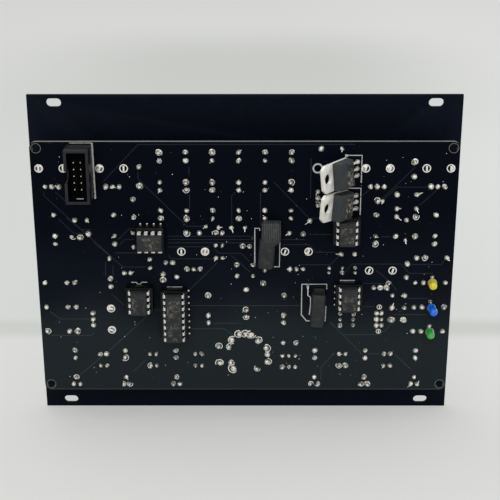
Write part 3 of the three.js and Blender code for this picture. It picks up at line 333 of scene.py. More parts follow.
@dataclass(frozen=True)
class Metal:
    """Plated or cast metal with darker stains."""

    name: str
    colour: Colour
    stain: Colour
    rough: float = 0.3
    stains: float = 0.5
    patch: float = 0.9
    depth: float = 0.05
    metallic: float = 1.0
    stained: Span = (0.45, 0.75)

    def material(self) -> Material:
        """Paints the metal."""
        r = Recipe(self.name)
        stains = r.cloud(self.patch, 2, 0.6).ramp(*self.stained) * self.stains
        colour = r.blend(stains, self.colour, self.stain)
        rough = self.rough + stains * 0.35
        more = {"Metallic": self.metallic}
        return r.coat(colour, rough, more, r.cloud(self.patch / 2), (0.6, self.depth))


@dataclass(frozen=True)
class SolderJoint:
    """Shiny solder with dark specks, and a dark ring of painted shade half-way up."""

    name: str = "solder"
    bright: Colour = tone(252, 250, 240)
    dull: Colour = tone(150, 143, 124)
    specks_and_shade: Colour = tone(52, 40, 28)
    darkening: float = 0.8
    speck_patch: float = 0.6
    specks: Span = (0.53, 0.6)
    ring_at: float = 0.5
    ring_reach: float = 0.1
    ring_soft: float = 0.16
    ring_patch: float = 1.6
    ring_gaps: Span = (0.42, 0.54)
    dull_patch: float = 1.5
    dulled: Span = (0.42, 0.7)
    grain: float = 0.45
    relief: Span = (0.9, 0.16)

    def material(self) -> Material:
        """Paints bright solder, dull patches, dark specks and the painted shade ring."""
        r = Recipe(self.name)
        height = BOARD_REAR - r.along("Y")
        specks = r.cloud(self.speck_patch, 3, 0.6).ramp(*self.specks)
        # Painted shade: a dark ring half-way up the joint, broken into patches.
        ring = height.within(self.ring_at, self.ring_reach, self.ring_soft)
        ring = ring * r.cloud(self.ring_patch, 1).ramp(*self.ring_gaps)
        specks_and_shade = 1 - (1 - specks * self.darkening) * (1 - ring * self.darkening)
        clean = r.blend(r.cloud(self.dull_patch).ramp(*self.dulled), self.bright, self.dull)
        colour = r.blend(specks_and_shade, clean, self.specks_and_shade)
        more = {"Metallic": 0.45 - specks_and_shade * 0.4}
        return r.coat(colour, 0.2 + specks_and_shade * 0.3, more, r.cloud(self.grain), self.relief)


@dataclass(frozen=True)
class TurnedMetal:
    """Machined metal with a thread that repeats along Y."""

    name: str
    colour: Colour
    groove: Colour = tone(110, 110, 108)
    pitch: float = 0.5
    rough: float = 0.26
    sheen_patch: float = 2
    relief: Span = (0.8, 0.12)

    def material(self) -> Material:
        """Paints the metal with its rings."""
        r = Recipe(self.name)
        rings = r.along("Y").wave(self.pitch)
        colour = r.blend(rings * 0.25, self.colour, self.groove)
        rough = self.rough + r.cloud(self.sheen_patch) * 0.12
        return r.coat(colour, rough, {"Metallic": 1.0}, rings, self.relief)


@dataclass(frozen=True)
class Ink:
    """White screen-printed ink that is worn in places."""

    name: str = "print_ink"
    colour: Colour = tone(196, 197, 194)
    worn: Colour = tone(112, 114, 114)
    patch: float = 0.7
    wear: Span = (0.5, 0.72)
    grain: float = 0.3
    relief: Span = (0.4, 0.02)

    def material(self) -> Material:
        """Paints the ink."""
        r = Recipe(self.name)
        wear = r.cloud(self.patch, 3, 0.7).ramp(*self.wear)
        colour = r.blend(wear, self.colour, self.worn)
        return r.coat(colour, 0.55 + wear * 0.2, {SPECULAR: 0.2}, r.cloud(self.grain), self.relief)


@dataclass(frozen=True)
class WornPrint:
    """Moulding compound under a printed field that has rubbed off to a blur."""

    name: str
    ground: Colour
    print: Colour
    cover: float = 0.55
    stroke: float = 1.1
    strokes: Span = (0.42, 0.66)
    patch: float = 3.4
    patches: Span = (0.35, 0.6)
    grain: float = 0.25
    relief: Span = (0.5, 0.02)

    def material(self) -> Material:
        """Paints the field."""
        r = Recipe(self.name)
        blur = r.cloud(self.stroke, 3, 0.7).ramp(*self.strokes)
        blur = blur * r.cloud(self.patch, 1).ramp(*self.patches)
        colour = r.blend(blur * self.cover, self.ground, self.print)
        return r.coat(colour, 0.62 - blur * 0.1, {SPECULAR: 0.25}, r.cloud(self.grain), self.relief)


@dataclass(frozen=True)
class ShrinkTube:
    """Black shrunk tubing, ridged along its length where ridges are given, with the ridges' crests painted
    paler as painted highlight.
    """

    name: str
    colour: Colour
    pale: Colour
    ridge: float = 0.0
    scuff_patch: float = 1.6
    scuffed: Span = (0.45, 0.8)
    ridge_patch: float = 3
    grain: float = 0.5
    relief: Span = (0.8, 0.12)

    def material(self) -> Material:
        """Paints the tubing."""
        r = Recipe(self.name)
        scuff = r.cloud(self.scuff_patch, 3, 0.65).ramp(*self.scuffed)
        height = r.cloud(self.grain, 3)
        paler = scuff * 0.7
        if self.ridge:
            ridges = (r.along("X") + r.cloud(self.ridge_patch, 1) * 0.5).wave(self.ridge)
            height = height * 0.4 + ridges * 0.6
            # Painted highlight: the ridges' crests are paler and their troughs darker.
            paler = ridges * 0.55 + scuff * 0.3
        colour = r.blend(paler, self.colour, self.pale)
        return r.coat(colour, 0.5 + scuff * 0.2, {SPECULAR: 0.3}, height, self.relief)


@dataclass(frozen=True)
class Resin:
    """Tinted clear resin of a lamp's lens, paler at its core."""

    name: str
    colour: Colour
    core: Colour
    clear: float = 0.15
    core_patch: float = 1.2
    paler: Span = (0.4, 0.8)
    sheen_patch: float = 0.8

    def material(self) -> Material:
        """Paints the resin."""
        r = Recipe(self.name)
        core = r.cloud(self.core_patch).ramp(*self.paler) * 0.6
        colour = r.blend(core, self.colour, self.core)
        more = {"Transmission Weight": self.clear, "IOR": 1.5, "Coat Weight": 0.4}
        return r.coat(colour, 0.12 + r.cloud(self.sheen_patch) * 0.08, more)


@dataclass(frozen=True)
class FloorPaper:
    """Pale seamless surface: the standing surface, and past its end the backdrop's tone."""

    name: str = "floor_paper"
    near: Colour = tone(219, 220, 217)
    far: Colour = tone(213, 215, 212)
    farthest: Colour = tone(230, 231, 228)
    lit: Colour = tone(240, 241, 239)
    seam_shade: Colour = tone(200, 202, 198)
    seam_at: float = 79.0
    seam_reach: float = 1.5
    seam_soft: float = 14
    backdrop: Span = (200, 1250)
    lit_side: Span = (20, 260)
    shadow_at: float = 740.0
    shadow_reach: float = 60
    shadow_soft: float = 320
    shadow_side: float = 260
    sheen_patch: float = 30
    glow: float = 0.55

    def material(self) -> Material:
        """Paints the surface, which glows a little wherever the camera or a gloss looks, with painted
        shade along the seam and a painted shadow of the module on the backdrop behind it.
        """
        r = Recipe(self.name)
        depth = r.along("Y")
        beyond = depth.ramp(self.seam_at - 1, self.seam_at + 1)
        backdrop = r.blend(depth.ramp(*self.backdrop), self.far, self.farthest)
        # Painted light: the paper grows paler towards +X.
        lit = r.along("X").ramp(*self.lit_side) * 0.5
        paper = r.blend(lit, r.blend(beyond, self.near, backdrop), self.lit)
        # Painted shade: a darker band along the seam, and a soft painted shadow of the module on the
        # backdrop behind it.
        seam_shade = depth.within(self.seam_at, self.seam_reach, self.seam_soft)
        painted_shadow = depth.within(self.shadow_at, self.shadow_reach, self.shadow_soft)
        painted_shadow = painted_shadow * r.along("X").within(0, self.shadow_reach, self.shadow_side)
        colour = r.blend(seam_shade * 0.75 + painted_shadow * 0.6, paper, self.seam_shade)
        r.coat(colour, 0.75 + r.cloud(self.sheen_patch) * 0.1, {SPECULAR: 0.15})
        camera = r.add("ShaderNodeLightPath", {}, {}, "Is Camera Ray")
        rays = camera.socket.node.outputs
        seen = camera + Wire(r, rays["Is Glossy Ray"]) + Wire(r, rays["Is Transmission Ray"])
        highlight_way = r.add("ShaderNodeEmission", {}, {"Color": colour})
        layers = {0: seen * self.glow, 1: Wire(r, r.shader.outputs[0]), 2: highlight_way}
        mixed = r.add("ShaderNodeMixShader", {}, layers)
        r.tree.links.new(mixed.socket, r.tree.nodes["Material Output"].inputs["Surface"])
        return r.material


class Finish(Enum):
    """The finishes of the module's pieces."""

    MASK = SolderMask()
    # The copper lines carry the same painted floor reflection, paler towards the lower edge.
    TRACE = SolderMask("covered_copper", tone(36, 40, 48), tone(44, 48, 53), tone(58, 63, 66))
    EDGE = Plastic("bare_board_edge", tone(122, 121, 114), tone(96, 92, 82), 0.7, 0.1)
    PANEL = Plastic("panel_coating", tone(11, 16, 27), tone(16, 22, 34), 0.55, 0.04, 0.6)
    MOULDING = Plastic("black_moulding", tone(13, 14, 18), tone(27, 29, 34), 0.4, 0.25)
    HOUSING = Plastic("jack_housing", tone(16, 16, 17), tone(34, 34, 35), 0.5)
    CHIP = Plastic("chip_body", tone(37, 40, 42), tone(56, 58, 58), 0.6, 0.3, 0.2)
    CHIP_PRINT = WornPrint("chip_field", tone(37, 40, 43), tone(122, 115, 100), 0.7)
    EPOXY = Plastic("regulator_body", tone(50, 55, 58), tone(66, 70, 72), 0.5, 0.3, 0.2)
    EPOXY_PRINT = WornPrint("regulator_field", tone(34, 37, 39), tone(156, 150, 136), 0.85)
    SOLDER = SolderJoint()
    TIN = Metal("tinned_lead", tone(250, 249, 244), tone(176, 170, 156), 0.2, 0.4, 0.6, 0.05, 0.5)
    TAB = Metal("tin_plated_tab", tone(236, 234, 226), tone(206, 203, 194), 0.4, 0.6, 3, 0.04, 0.35)
    SHADED = Metal("shaded_pin", tone(52, 50, 46), tone(30, 29, 27), 0.5, 0.5, 0.9, 0.03, 0.4)
    NICKEL = Metal("nickel_plate", tone(200, 199, 194), tone(140, 139, 134), 0.25, 0.4, 3, 0.02)
    CAN = Metal("zinc_can", tone(176, 176, 172), tone(128, 128, 124), 0.36, 0.5, 4, 0.03)
    THREAD = TurnedMetal("threaded_bush", tone(196, 195, 190))
    INK = Ink()
    SLEEVE = ShrinkTube("shrunk_sleeve", tone(34, 35, 36), tone(64, 65, 66))
    RIDGED = ShrinkTube("ridged_sleeve", tone(12, 13, 14), tone(96, 97, 98), 0.66)
    YELLOW = Resin("yellow_resin", tone(232, 218, 20), tone(252, 242, 110))
    BLUE = Resin("blue_resin", tone(0, 104, 236), tone(40, 150, 250))
    GREEN = Resin("green_resin", tone(30, 170, 56), tone(130, 220, 130))
    # Painted highlight: pale resin on the lens faces where a highlight falls.
    LENS_HIGHLIGHT = Resin("painted_lens_highlight", tone(226, 230, 214), tone(240, 242, 232), 0.2)
    # Painted highlight: a paler bluish tone on the header's rim, where light catches the edge.
    EDGE_HIGHLIGHT = Plastic("painted_edge_highlight", tone(21, 24, 32), tone(38, 41, 48), 0.5, 0.3, 0.3)
    LEG = Metal("chip_leg", tone(255, 255, 252), tone(206, 202, 190), 0.35, 0.4, 0.6, 0.05, 0.15)
    DARK = Plastic("dark_moulding", tone(6, 7, 8), tone(14, 15, 16), 0.4, 0.2, 0.3)
    CLEAR = Resin("clear_resin", tone(226, 228, 226), tone(240, 240, 238), 0.6)
    KNOB = Plastic("knob_plastic", tone(24, 24, 26), tone(44, 44, 46), 0.55, 0.3, 0.25)
    POINTER = Plastic("pointer_paint", tone(226, 226, 222), tone(190, 190, 184), 0.5)
    WAFER = Plastic("pressed_wafer", tone(74, 52, 34), tone(96, 72, 50), 0.7, 0.25)
    # Painted shade: near-black for hollows and openings where shade falls.
    HOLLOW_SHADE = Plastic("painted_hollow_shade", tone(5, 5, 6), tone(9, 9, 10), 0.8, 0.05)

    @cached_property
    def material(self) -> Material:
        """The finish's material, painted once."""
        return self.value.material()


# Modelling


def rearward(_: Vector, normal: Vector) -> bool:
    """Says whether a face looks to the rear."""
    return normal.y < -FACING


def frontward(_: Vector, normal: Vector) -> bool:
    """Says whether a face looks to the front."""
    return normal.y > FACING


def lengthwise(_: Vector, along: Vector) -> bool:
    """Says whether an edge runs from the rear to the front."""
    return abs(along.y) > FACING


def every_second(middle: Vector, sides: int) -> bool:
    """Says whether a side face is one of every second round the axis."""
    step = math.atan2(middle.z, middle.x) / (FULL_TURN / sides)
    return math.floor(step + sides) % 2 == 0


def deselect() -> None:
    """Leaves nothing selected, in object mode."""
    if bpy.context.object and bpy.context.object.mode != "OBJECT":
        bpy.ops.object.mode_set(mode="OBJECT")
    bpy.ops.object.select_all(action="DESELECT")


class Form:
    """One mesh in the hand: it starts as a primitive and is shaped step by step."""

    def __init__(self, thing: bpy.types.Object) -> None:
        """Takes hold of a mesh object."""
        self.thing = thing

    @classmethod
    def block(
        cls, width: float, height: float, near: float, far: float, x: float = 0, z: float = 0
    ) -> "Form":
        """Starts from a block.

        Args:
            width: Its size along X.
            height: Its size along Z.
            near: Its nearer face along Y.
            far: Its farther face along Y.
            x: Its middle along X.
            z: Its middle along Z.

        Returns:
            The form.
        """
        deselect()
        bpy.ops.mesh.primitive_cube_add(size=MM, location=Vector((x, (near + far) / 2, z)) * MM)
        form = cls(bpy.context.object)
        form.thing.scale = (width, abs(far - near), height)
        bpy.ops.object.transform_apply(location=True, rotation=True, scale=True)
        return form

    @classmethod
    def turned(cls, outline: Route, sides: int = 24, x: float = 0, z: float = 0) -> "Form":
        """Draws a round form out along Y, ring by ring.

        Args:
            outline: Radius and place along Y of each ring.
            sides: How many sides the form has.
            x: Its axis along X.
            z: Its axis along Z.

        Returns:
            The form.
        """
        (radius, depth), *rest = outline
        deselect()
        place = Vector((x, depth, z)) * MM
        bpy.ops.mesh.primitive_circle_add(
            vertices=sides, radius=radius * MM, fill_type="NGON", location=place, rotation=(QUARTER, 0, 0)
        )
        form = cls(bpy.context.object)
        bpy.ops.object.transform_apply(location=True, rotation=True, scale=True)
        with form.edit():
            bpy.ops.mesh.select_all(action="SELECT")
            for next_radius, next_depth in rest:
                step = Vector((0, next_depth - depth, 0)) * MM
                move = {"value": step, "orient_type": "GLOBAL"}
                bpy.ops.mesh.extrude_region_move(TRANSFORM_OT_translate=move)
                share = next_radius / radius
                middle = Vector((x, next_depth, z)) * MM
                bpy.ops.transform.resize(value=(share, 1, share), center_override=middle)
                radius, depth = next_radius, next_depth
        return form.even()

    @classmethod
    def rod(cls, radius: float, near: float, far: float, sides: int, x: float = 0, z: float = 0) -> "Form":
        """Draws out a plain round rod along Y."""
        return cls.turned([(radius, near), (radius, far)], sides, x, z)

    @classmethod
    def wires(cls, routes: Sequence[Route], width: float, near: float, flat: float) -> "Form":
        """Lays thin lines on a face that looks along -Y.

        Args:
            routes: The corners of each line.
            width: Its width.
            near: The face's place along Y.
            flat: How much of its roundness is left.

        Returns:
            The form.
        """
        deselect()
        curve = bpy.data.curves.new("routes", "CURVE")
        curve.dimensions = "3D"
        curve.bevel_depth = width / 2 * MM
        curve.bevel_resolution = 1
        curve.use_fill_caps = True
        for route in routes:
            spline = curve.splines.new("POLY")
            spline.points.add(len(route) - 1)
            for point, (x, z) in zip(spline.points, route):
                point.co = (x * MM, 0, z * MM, 1)
        form = cls(bpy.data.objects.new("routes", curve))
        bpy.context.scene.collection.objects.link(form.thing)
        form.take()
        bpy.ops.object.convert(target="MESH")
        form.thing = bpy.context.object
        return form.moved(shift(0, near) @ Matrix.Diagonal((1, flat, 1, 1)))

    @classmethod
    def joined(cls, forms: Sequence["Form"]) -> "Form":
        """Joins forms into the first of them."""
        forms[0].take()
        for form in forms[1:]:
            form.thing.select_set(True)
        if len(forms) > 1:
            bpy.ops.object.join()
        return forms[0]

    def take(self) -> None:
        """Makes this the only selected object, and the active one."""
        deselect()
        self.thing.select_set(True)
        bpy.context.view_layer.objects.active = self.thing

    @contextmanager
    def edit(self) -> Iterator[None]:
        """Holds the form in edit mode."""
        self.take()
        bpy.ops.object.mode_set(mode="EDIT")
        yield
        bpy.ops.object.mode_set(mode="OBJECT")

    def pick(self, test: Test) -> None:
        """Selects the faces whose middle and normal pass a test."""
        bpy.ops.mesh.select_mode(type="FACE")
        bpy.ops.mesh.select_all(action="DESELECT")
        mesh = bmesh.from_edit_mesh(self.thing.data)
        for face in mesh.faces:
            face.select_set(test(face.calc_center_median() / MM, face.normal))
        bmesh.update_edit_mesh(self.thing.data)

    def pick_edges(self, test: Test) -> None:
        """Selects the edges whose middle and direction pass a test."""
        bpy.ops.mesh.select_mode(type="EDGE")
        bpy.ops.mesh.select_all(action="DESELECT")
        mesh = bmesh.from_edit_mesh(self.thing.data)
        for edge in mesh.edges:
            start, end = (vertex.co for vertex in edge.verts)
            edge.select_set(test((start + end) / 2 / MM, (end - start).normalized()))
        bmesh.update_edit_mesh(self.thing.data)

    def even(self) -> "Form":
        """Welds doubled corners and turns all faces outwards."""
        with self.edit():
            bpy.ops.mesh.select_all(action="SELECT")
            bpy.ops.mesh.remove_doubles(threshold=0.002 * MM)
            bpy.ops.mesh.normals_make_consistent(inside=False)
        return self

    def pressed(self, test: Test, margin: float, depth: float, each: bool = False) -> "Form":
        """Insets picked faces and moves what is inside along the normal.

        Args:
            test: Which faces.
            margin: How wide a border is left.
            depth: How far the inside moves; negative is inwards.
            each: Whether every face is inset for itself.

        Returns:
            The form.
        """
        with self.edit():
            self.pick(test)
            bpy.ops.mesh.inset(thickness=margin * MM, depth=depth * MM, use_individual=each)
        return self

    def edged(self, test: Test, width: float, segments: int = 1) -> "Form":
        """Bevels the edges that pass a test.

        Args:
            test: Which edges.
            width: The bevel's width.
            segments: How many facets it has.

        Returns:
            The form.
        """
        with self.edit():
            self.pick_edges(test)
            bpy.ops.mesh.bevel(offset=width * MM, segments=segments, affect="EDGES")
        return self

    def split(self, point: Vector, normal: Vector, keep: bool = True) -> "Form":
        """Cuts a loop round the form where a plane meets it.

        Args:
            point: A point of the plane.
            normal: The plane's normal.
            keep: Whether the part on the normal's side stays.

        Returns:
            The form.
        """
        with self.edit():
            bpy.ops.mesh.select_all(action="SELECT")
            bpy.ops.mesh.bisect(
                plane_co=point * MM, plane_no=normal, clear_outer=not keep, use_fill=not keep
            )
        return self

    def sized(self, test: Test, share: Point, middle: Vector) -> "Form":
        """Scales the faces that pass a test.

        Args:
            test: Which faces.
            share: The scale along each axis.
            middle: The point that stays.

        Returns:
            The form.
        """
        with self.edit():
            self.pick(test)
            bpy.ops.transform.resize(value=share, center_override=middle * MM)
        return self

    def rounded(self, width: float, segments: int = 2, angle: float = 30) -> "Form":
        """Rounds the sharp edges.

        Args:
            width: The rounding's width.
            segments: How many facets it has.
            angle: Edges sharper than this many degrees are rounded.

        Returns:
            The form.
        """
        self.take()
        tool = self.thing.modifiers.new("rounding", "BEVEL")
        tool.width = width * MM
        tool.segments = segments
        tool.limit_method = "ANGLE"
        tool.angle_limit = math.radians(angle)
        bpy.ops.object.modifier_apply(modifier=tool.name)
        return self

    def warped(self, reach: float, size: float, seed: int) -> "Form":
        """Draws the surface a little out of true, least along Y.

        Args:
            reach: How far a point may move.
            size: How far apart the dents are.
            seed: What the dents are drawn from, so that every run makes the same ones.

        Returns:
            The form.
        """
        noise.seed_set(seed)
        for corner in self.thing.data.vertices:
            push = noise.noise_vector(corner.co / (size * MM)) * reach * MM
            corner.co += Vector((push.x, push.y * 0.3, push.z))
        return self

    def cut(self, *cutters: "Form") -> "Form":
        """Takes the cutters' space out of the form.

        Args:
            *cutters: The forms that are used up as cutters.

        Returns:
            The form.
        """
        cutter = Form.joined(cutters)
        self.take()
        tool = self.thing.modifiers.new("cut", "BOOLEAN")
        tool.object = cutter.thing
        tool.solver = "EXACT"
        bpy.ops.object.modifier_apply(modifier=tool.name)
        bpy.data.objects.remove(cutter.thing)
        return self

    def moved(self, matrix: Matrix) -> "Form":
        """Moves the mesh itself, so that its object stays at the origin."""
        self.thing.data.transform(matrix)
        return self

    def placed(self, spot: Spot = MIDDLE) -> "Form":
        """Moves the form to its place on the board."""
        return self.moved(spot.matrix())

    def copied(self, matrix: Matrix) -> "Form":
        """Returns a copy with a mesh of its own, moved by a matrix.

        Args:
            matrix: The move.

        Returns:
            The copy.
        """
        thing = self.thing.copy()
        thing.data = self.thing.data.copy()
        bpy.context.scene.collection.objects.link(thing)
        return Form(thing).moved(matrix)

    def repeated(self, places: Iterable[Spot | Matrix]) -> list["Form"]:
        """Copies the form to each place and removes the form itself.

        Args:
            places: Spots on the board, or moves.

        Returns:
            The copies.
        """
        moves = [place.matrix() if isinstance(place, Spot) else place for place in places]
        copies = [self.copied(move) for move in moves]
        self.spent()
        return copies

    def spent(self) -> None:
        """Removes a form that was only modelled to be copied."""
        bpy.data.objects.remove(self.thing)

    def coated(self, finish: Finish, test: Test | None = None) -> "Form":
        """Gives the form a finish, all over or where faces pass a test.

        Args:
            finish: The finish.
            test: Which faces, by middle and normal.

        Returns:
            The form.
        """
        mesh = self.thing.data
        if test is None:
            mesh.materials.clear()
            mesh.materials.append(finish.material)
            return self
        mesh.materials.append(finish.material)
        for face in mesh.polygons:
            if test(face.center / MM, face.normal):
                face.material_index = len(mesh.materials) - 1
        return self

    def done(
        self,
        name: str,
        slot: str,
        stands_for: Sequence[str] = (),
        body: str = "module",
        angle: float = 35,
    ) -> None:
        """Finishes a piece and lets it ride on its body.

        Args:
            name: The piece's name.
            slot: A material slot name; not used.
            stands_for: The CAD nodes that it replaces.
            body: The body that it moves with.
            angle: Edges sharper than this many degrees stay sharp.
        """
        self.even()
        self.take()
        bpy.ops.object.shade_smooth_by_angle(angle=math.radians(angle))
        self.thing.name = name
        self.thing.data.name = name
        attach(self.thing, body)
        if stands_for:
            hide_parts(*stands_for)
        log.info("%s: %d faces", name, len(self.thing.data.polygons))


def grid(pitch_x: float, across: int, pitch_z: float, up: int) -> list[Span]:
    """Returns X and Z of each point of a centred grid, column by column."""
    return [
        ((i - (across - 1) / 2) * pitch_x, (j - (up - 1) / 2) * pitch_z)
        for i in range(across)
        for j in range(up)
    ]


def grid_moves(pitch_x: float, across: int, pitch_z: float, up: int) -> list[Matrix]:
    """Returns the moves from the middle to the points of a centred grid."""
    return [shift(x, 0, z) for x, z in grid(pitch_x, across, pitch_z, up)]


@dataclass(frozen=True)
class Bush:
    """A threaded bush in the panel's hole with its nut, bored for what moves in it."""

    radius: float
    mouth: float
    bore: float
    floor: float
    nut: float
    nut_far: float = 3.7
    nut_near: float = 1.7
    sides: int = 32
    bore_sides: int = 28
    sink: float = 0.2
    chamfer: float = 0.3
    bore_end: float = 9

    def hexagon(self) -> Form:
        """Models the hexagonal nut."""
        nut = Form.rod(self.nut, self.nut_near, self.nut_far, 6).rounded(self.nut * 0.06)
        depth = (self.nut_near - OVERRUN, self.nut_far + OVERRUN)
        return nut.cut(Form.rod(self.radius - 0.05, *depth, 24)).coated(Finish.NICKEL)

    def model(self, seat: float) -> Form:
        """Models bush and nut.

        Args:
            seat: Where the face that carries the bush lies along Y.

        Returns:
            Both, coated.
        """
        outline = [
            (self.radius, seat - self.sink), (self.radius, self.mouth - self.chamfer),
            (self.radius - self.chamfer, self.mouth),
        ]
        bush = Form.turned(outline, self.sides)
        bush.cut(Form.rod(self.bore, self.floor, self.bore_end, self.bore_sides))
        return Form.joined([bush.coated(Finish.THREAD), self.hexagon()])


# The module's layout


@dataclass(frozen=True)
class Layout:
    """Where the controls sit on the circuit board."""

    edge: float = 71.2
    inner: float = 48.9
    lower: float = 51.44
    middle: float = 19.5
    top_row: float = 40.0
    second_row: float = 27.2
    third_row: float = 17.15
    middle_row: float = 7.6
    lower_row: float = -19.975
    bottom_row: float = -39.6
    button_row: float = -37.1
    lamp_row: float = -47.5
    grid_shift: float = -7.1
    grid_pitch: float = 9.7
    side_pitch: float = 10.05
    side_lowest: float = -25.0
    bottom_first: float = 27.0
    bottom_pitch: float = 19.6
    arc: Route = ((-51.14, 0), (-14.15, -15.05), (0.35, -12.6), (14.85, -15.05))
    button_columns: Numbers = (-55.22, -35.82, -18.18, 37.78, 55.22)
    middle_button: float = -9.75
    rotary: Spot = Spot(1.2, -33.6)
    toggle: Spot = Spot(17.1, -37.1)
    tact: Spot = MIDDLE

    def jacks(self) -> dict[str, Spot]:
        """Returns the jacks that are nodes of their own, by name."""
        spots = {}
        for i in range(6):
            x = self.grid_shift + (i - 2.5) * self.grid_pitch
            spots[f"jack_top_{2 * i + 1}"] = Spot(x, self.top_row)
            spots[f"jack_top_{2 * i + 2}"] = Spot(x, self.second_row, HALF_TURN)
        for i in range(4):
            z = self.side_lowest + i * self.side_pitch
            spots[f"jack_right_{i + 1}"] = Spot(self.edge, z, -QUARTER)
            if i < 3:
                spots[f"jack_left_{i + 1}"] = Spot(-self.edge, z, QUARTER)
        for i, x in enumerate(self.bottom_columns()):
            spots[f"jack_bottom_{i + 1}"] = Spot(x, self.bottom_row)
        return spots

    def board_jacks(self) -> list[Spot]:
        """Returns the jacks that are part of the board's solid."""
        under_pots = [(x, self.third_row) for x in self.top_columns()]
        return [Spot(x, z, HALF_TURN) for x, z in (*under_pots, *self.arc)]

    def every_jack(self) -> list[Spot]:
        """Returns the places of all jacks."""
        return [*self.jacks().values(), *self.board_jacks()]

    def top_columns(self) -> list[float]:
        """Returns the columns of the four upper potentiometers."""
        return [-self.edge, -self.inner, self.inner, self.edge]

    def bottom_columns(self) -> list[float]:
        """Returns the columns of the six lower jacks."""
        right = [self.bottom_first + i * self.bottom_pitch for i in range(3)]
        return [-x for x in reversed(right)] + right

    def pots(self) -> list[Spot]:
        """Returns the eight potentiometers, in the knobs' order."""
        upper = [Spot(x, self.top_row) for x in self.top_columns()]
        middle = [Spot(x, self.middle_row) for x in (-self.middle, self.middle)]
        return [*upper, *middle, Spot(-self.lower, self.lower_row, QUARTER), Spot(self.lower, 0)]

    def buttons(self) -> list[Spot]:
        """Returns the six push buttons and the small one, in their order."""
        row = [Spot(x, self.button_row) for x in self.button_columns]
        return [*row, Spot(self.middle_button, self.middle_row), self.tact]

    def slide(self) -> Spot:
        """Returns the slide switch's place."""
        return Spot(self.lower, self.lower_row)

    def rear_lamps(self) -> dict[str, Spot]:
        """Returns the three rear lamps, by name."""
        names = ("lamp_yellow", "lamp_blue", "lamp_green")
        heights = [self.side_lowest + i * self.side_pitch for i in (2, 1, 0)]
        return {name: Spot(self.edge, z) for name, z in zip(names, heights)}

    def front_lamps(self) -> list[Spot]:
        """Returns the six lamps of the front, in line with the lower jacks."""
        return [Spot(x, self.lamp_row) for x in self.bottom_columns()]


LAYOUT = Layout()


# Flat pieces


@dataclass
class FrontPanel:
    """The black front panel with its rail slots and openings."""

    width: float = 162.3
    height: float = 128.5
    rise: float = 0.5
    slot_x: float = 71.12
    slot_z: float = 61.25
    slot_length: float = 5.6
    slot_width: float = 3.2
    clearance: float = 0.25
    jack: float = 3.0
    pot: float = 3.6
    button: float = 2.5
    lamp: float = 1.5
    rotary: float = 4.6
    toggle: float = 3.0
    slide_width: float = 2.4
    slide_length: float = 4.4
    edge: float = 0.12

    def holes(self, radius: float, spots: Sequence[Spot]) -> list[Form]:
        """Models a round cutter at each spot."""
        cutter = Form.rod(radius + self.clearance, -OVERRUN, PANEL_FRONT + OVERRUN, 32)
        return cutter.repeated(spots)

    def slots(self) -> list[Form]:
        """Models the four slotted cutters."""
        cutter = Form.block(self.slot_length, self.slot_width, -OVERRUN, PANEL_FRONT + OVERRUN)
        cutter.edged(lengthwise, self.slot_width / 2 - 0.01, 8)
        places = grid(2 * self.slot_x, 2, 2 * self.slot_z, 2)
        return cutter.repeated(Spot(x, z + self.rise) for x, z in places)

    def build(self) -> None:
        """Cuts and dresses the panel."""
        plate = Form.block(self.width, self.height, 0, PANEL_FRONT, 0, self.rise).placed()
        slide = Form.block(self.slide_width, self.slide_length, -OVERRUN, PANEL_FRONT + OVERRUN)
        plate.cut(
            *self.holes(self.jack, LAYOUT.every_jack()),
            *self.holes(self.pot, LAYOUT.pots()),
            *self.holes(self.button, LAYOUT.buttons()),
            *self.holes(self.lamp, LAYOUT.front_lamps()),
            *self.holes(self.rotary, [LAYOUT.rotary]),
            *self.holes(self.toggle, [LAYOUT.toggle]),
            slide.placed(LAYOUT.slide()),
            *self.slots(),
        )
        plate.rounded(self.edge, 2, 60).coated(Finish.PANEL)
        plate.done("front_panel_plate", "panel", ["front_panel"])


class Printed(Enum):
    """The printed outlines round the parts of the rear: line width and corners."""

    HEADER_TOP = (0.34, ((-64.0, 49.55), (-55.6, 49.55)))
    HEADER_SIDE = (0.7, ((-55.65, 49.4), (-55.4, 28.4)))
    REGULATOR_UPPER = (0.45, ((36.8, 44.9), (42.9, 44.9), (42.9, 34.5)))
    REGULATOR_LOWER = (0.45, ((37.0, 32.4), (42.9, 32.4), (42.9, 22.1)))
    UPPER_SLEEVE_LEFT = (0.5, ((5.5, 15.9), (5.5, 16.8), (3.7, 16.8), (3.7, 3.0)))
    UPPER_SLEEVE_RIGHT = (0.45, ((13.2, 19.5), (13.0, 1.5), (11.0, 1.5)))
    LOWER_SLEEVE_LEFT = (
        0.45,
        ((31.1, -7.7), (31.1, -5.6), (21.6, -5.6), (21.6, -18.2), (23.6, -20.7), (25.0, -20.7)),
    )
    LOWER_SLEEVE_RIGHT = (0.45, ((31.0, -14.6), (30.8, -20.9)))
    CHIP_RIGHT_BAR = (0.45, ((36.1, -4.05), (41.7, -4.05)))
    CHIP_LONG_BAR = (0.34, ((-29.8, -6.7), (-24.0, -6.7)))
    CHIP_LEFT_NOTCH = (
        0.4,
        ((-43.3, -4.8), (-41.4, -4.8), (-40.9, -5.5), (-39.8, -5.5), (-39.3, -4.8), (-37.3, -4.8)),
    )
    SQUARE_UPPER = (1.0, ((36.7, 44.8), (37.7, 44.8)))
    SQUARE_LOWER = (0.8, ((36.7, 32.3), (37.5, 32.3)))

    def model(self) -> Form:
        """Models the line on the board's rear face."""
        width, route = self.value
        return Form.wires([route], width, BOARD_REAR, 0.12)


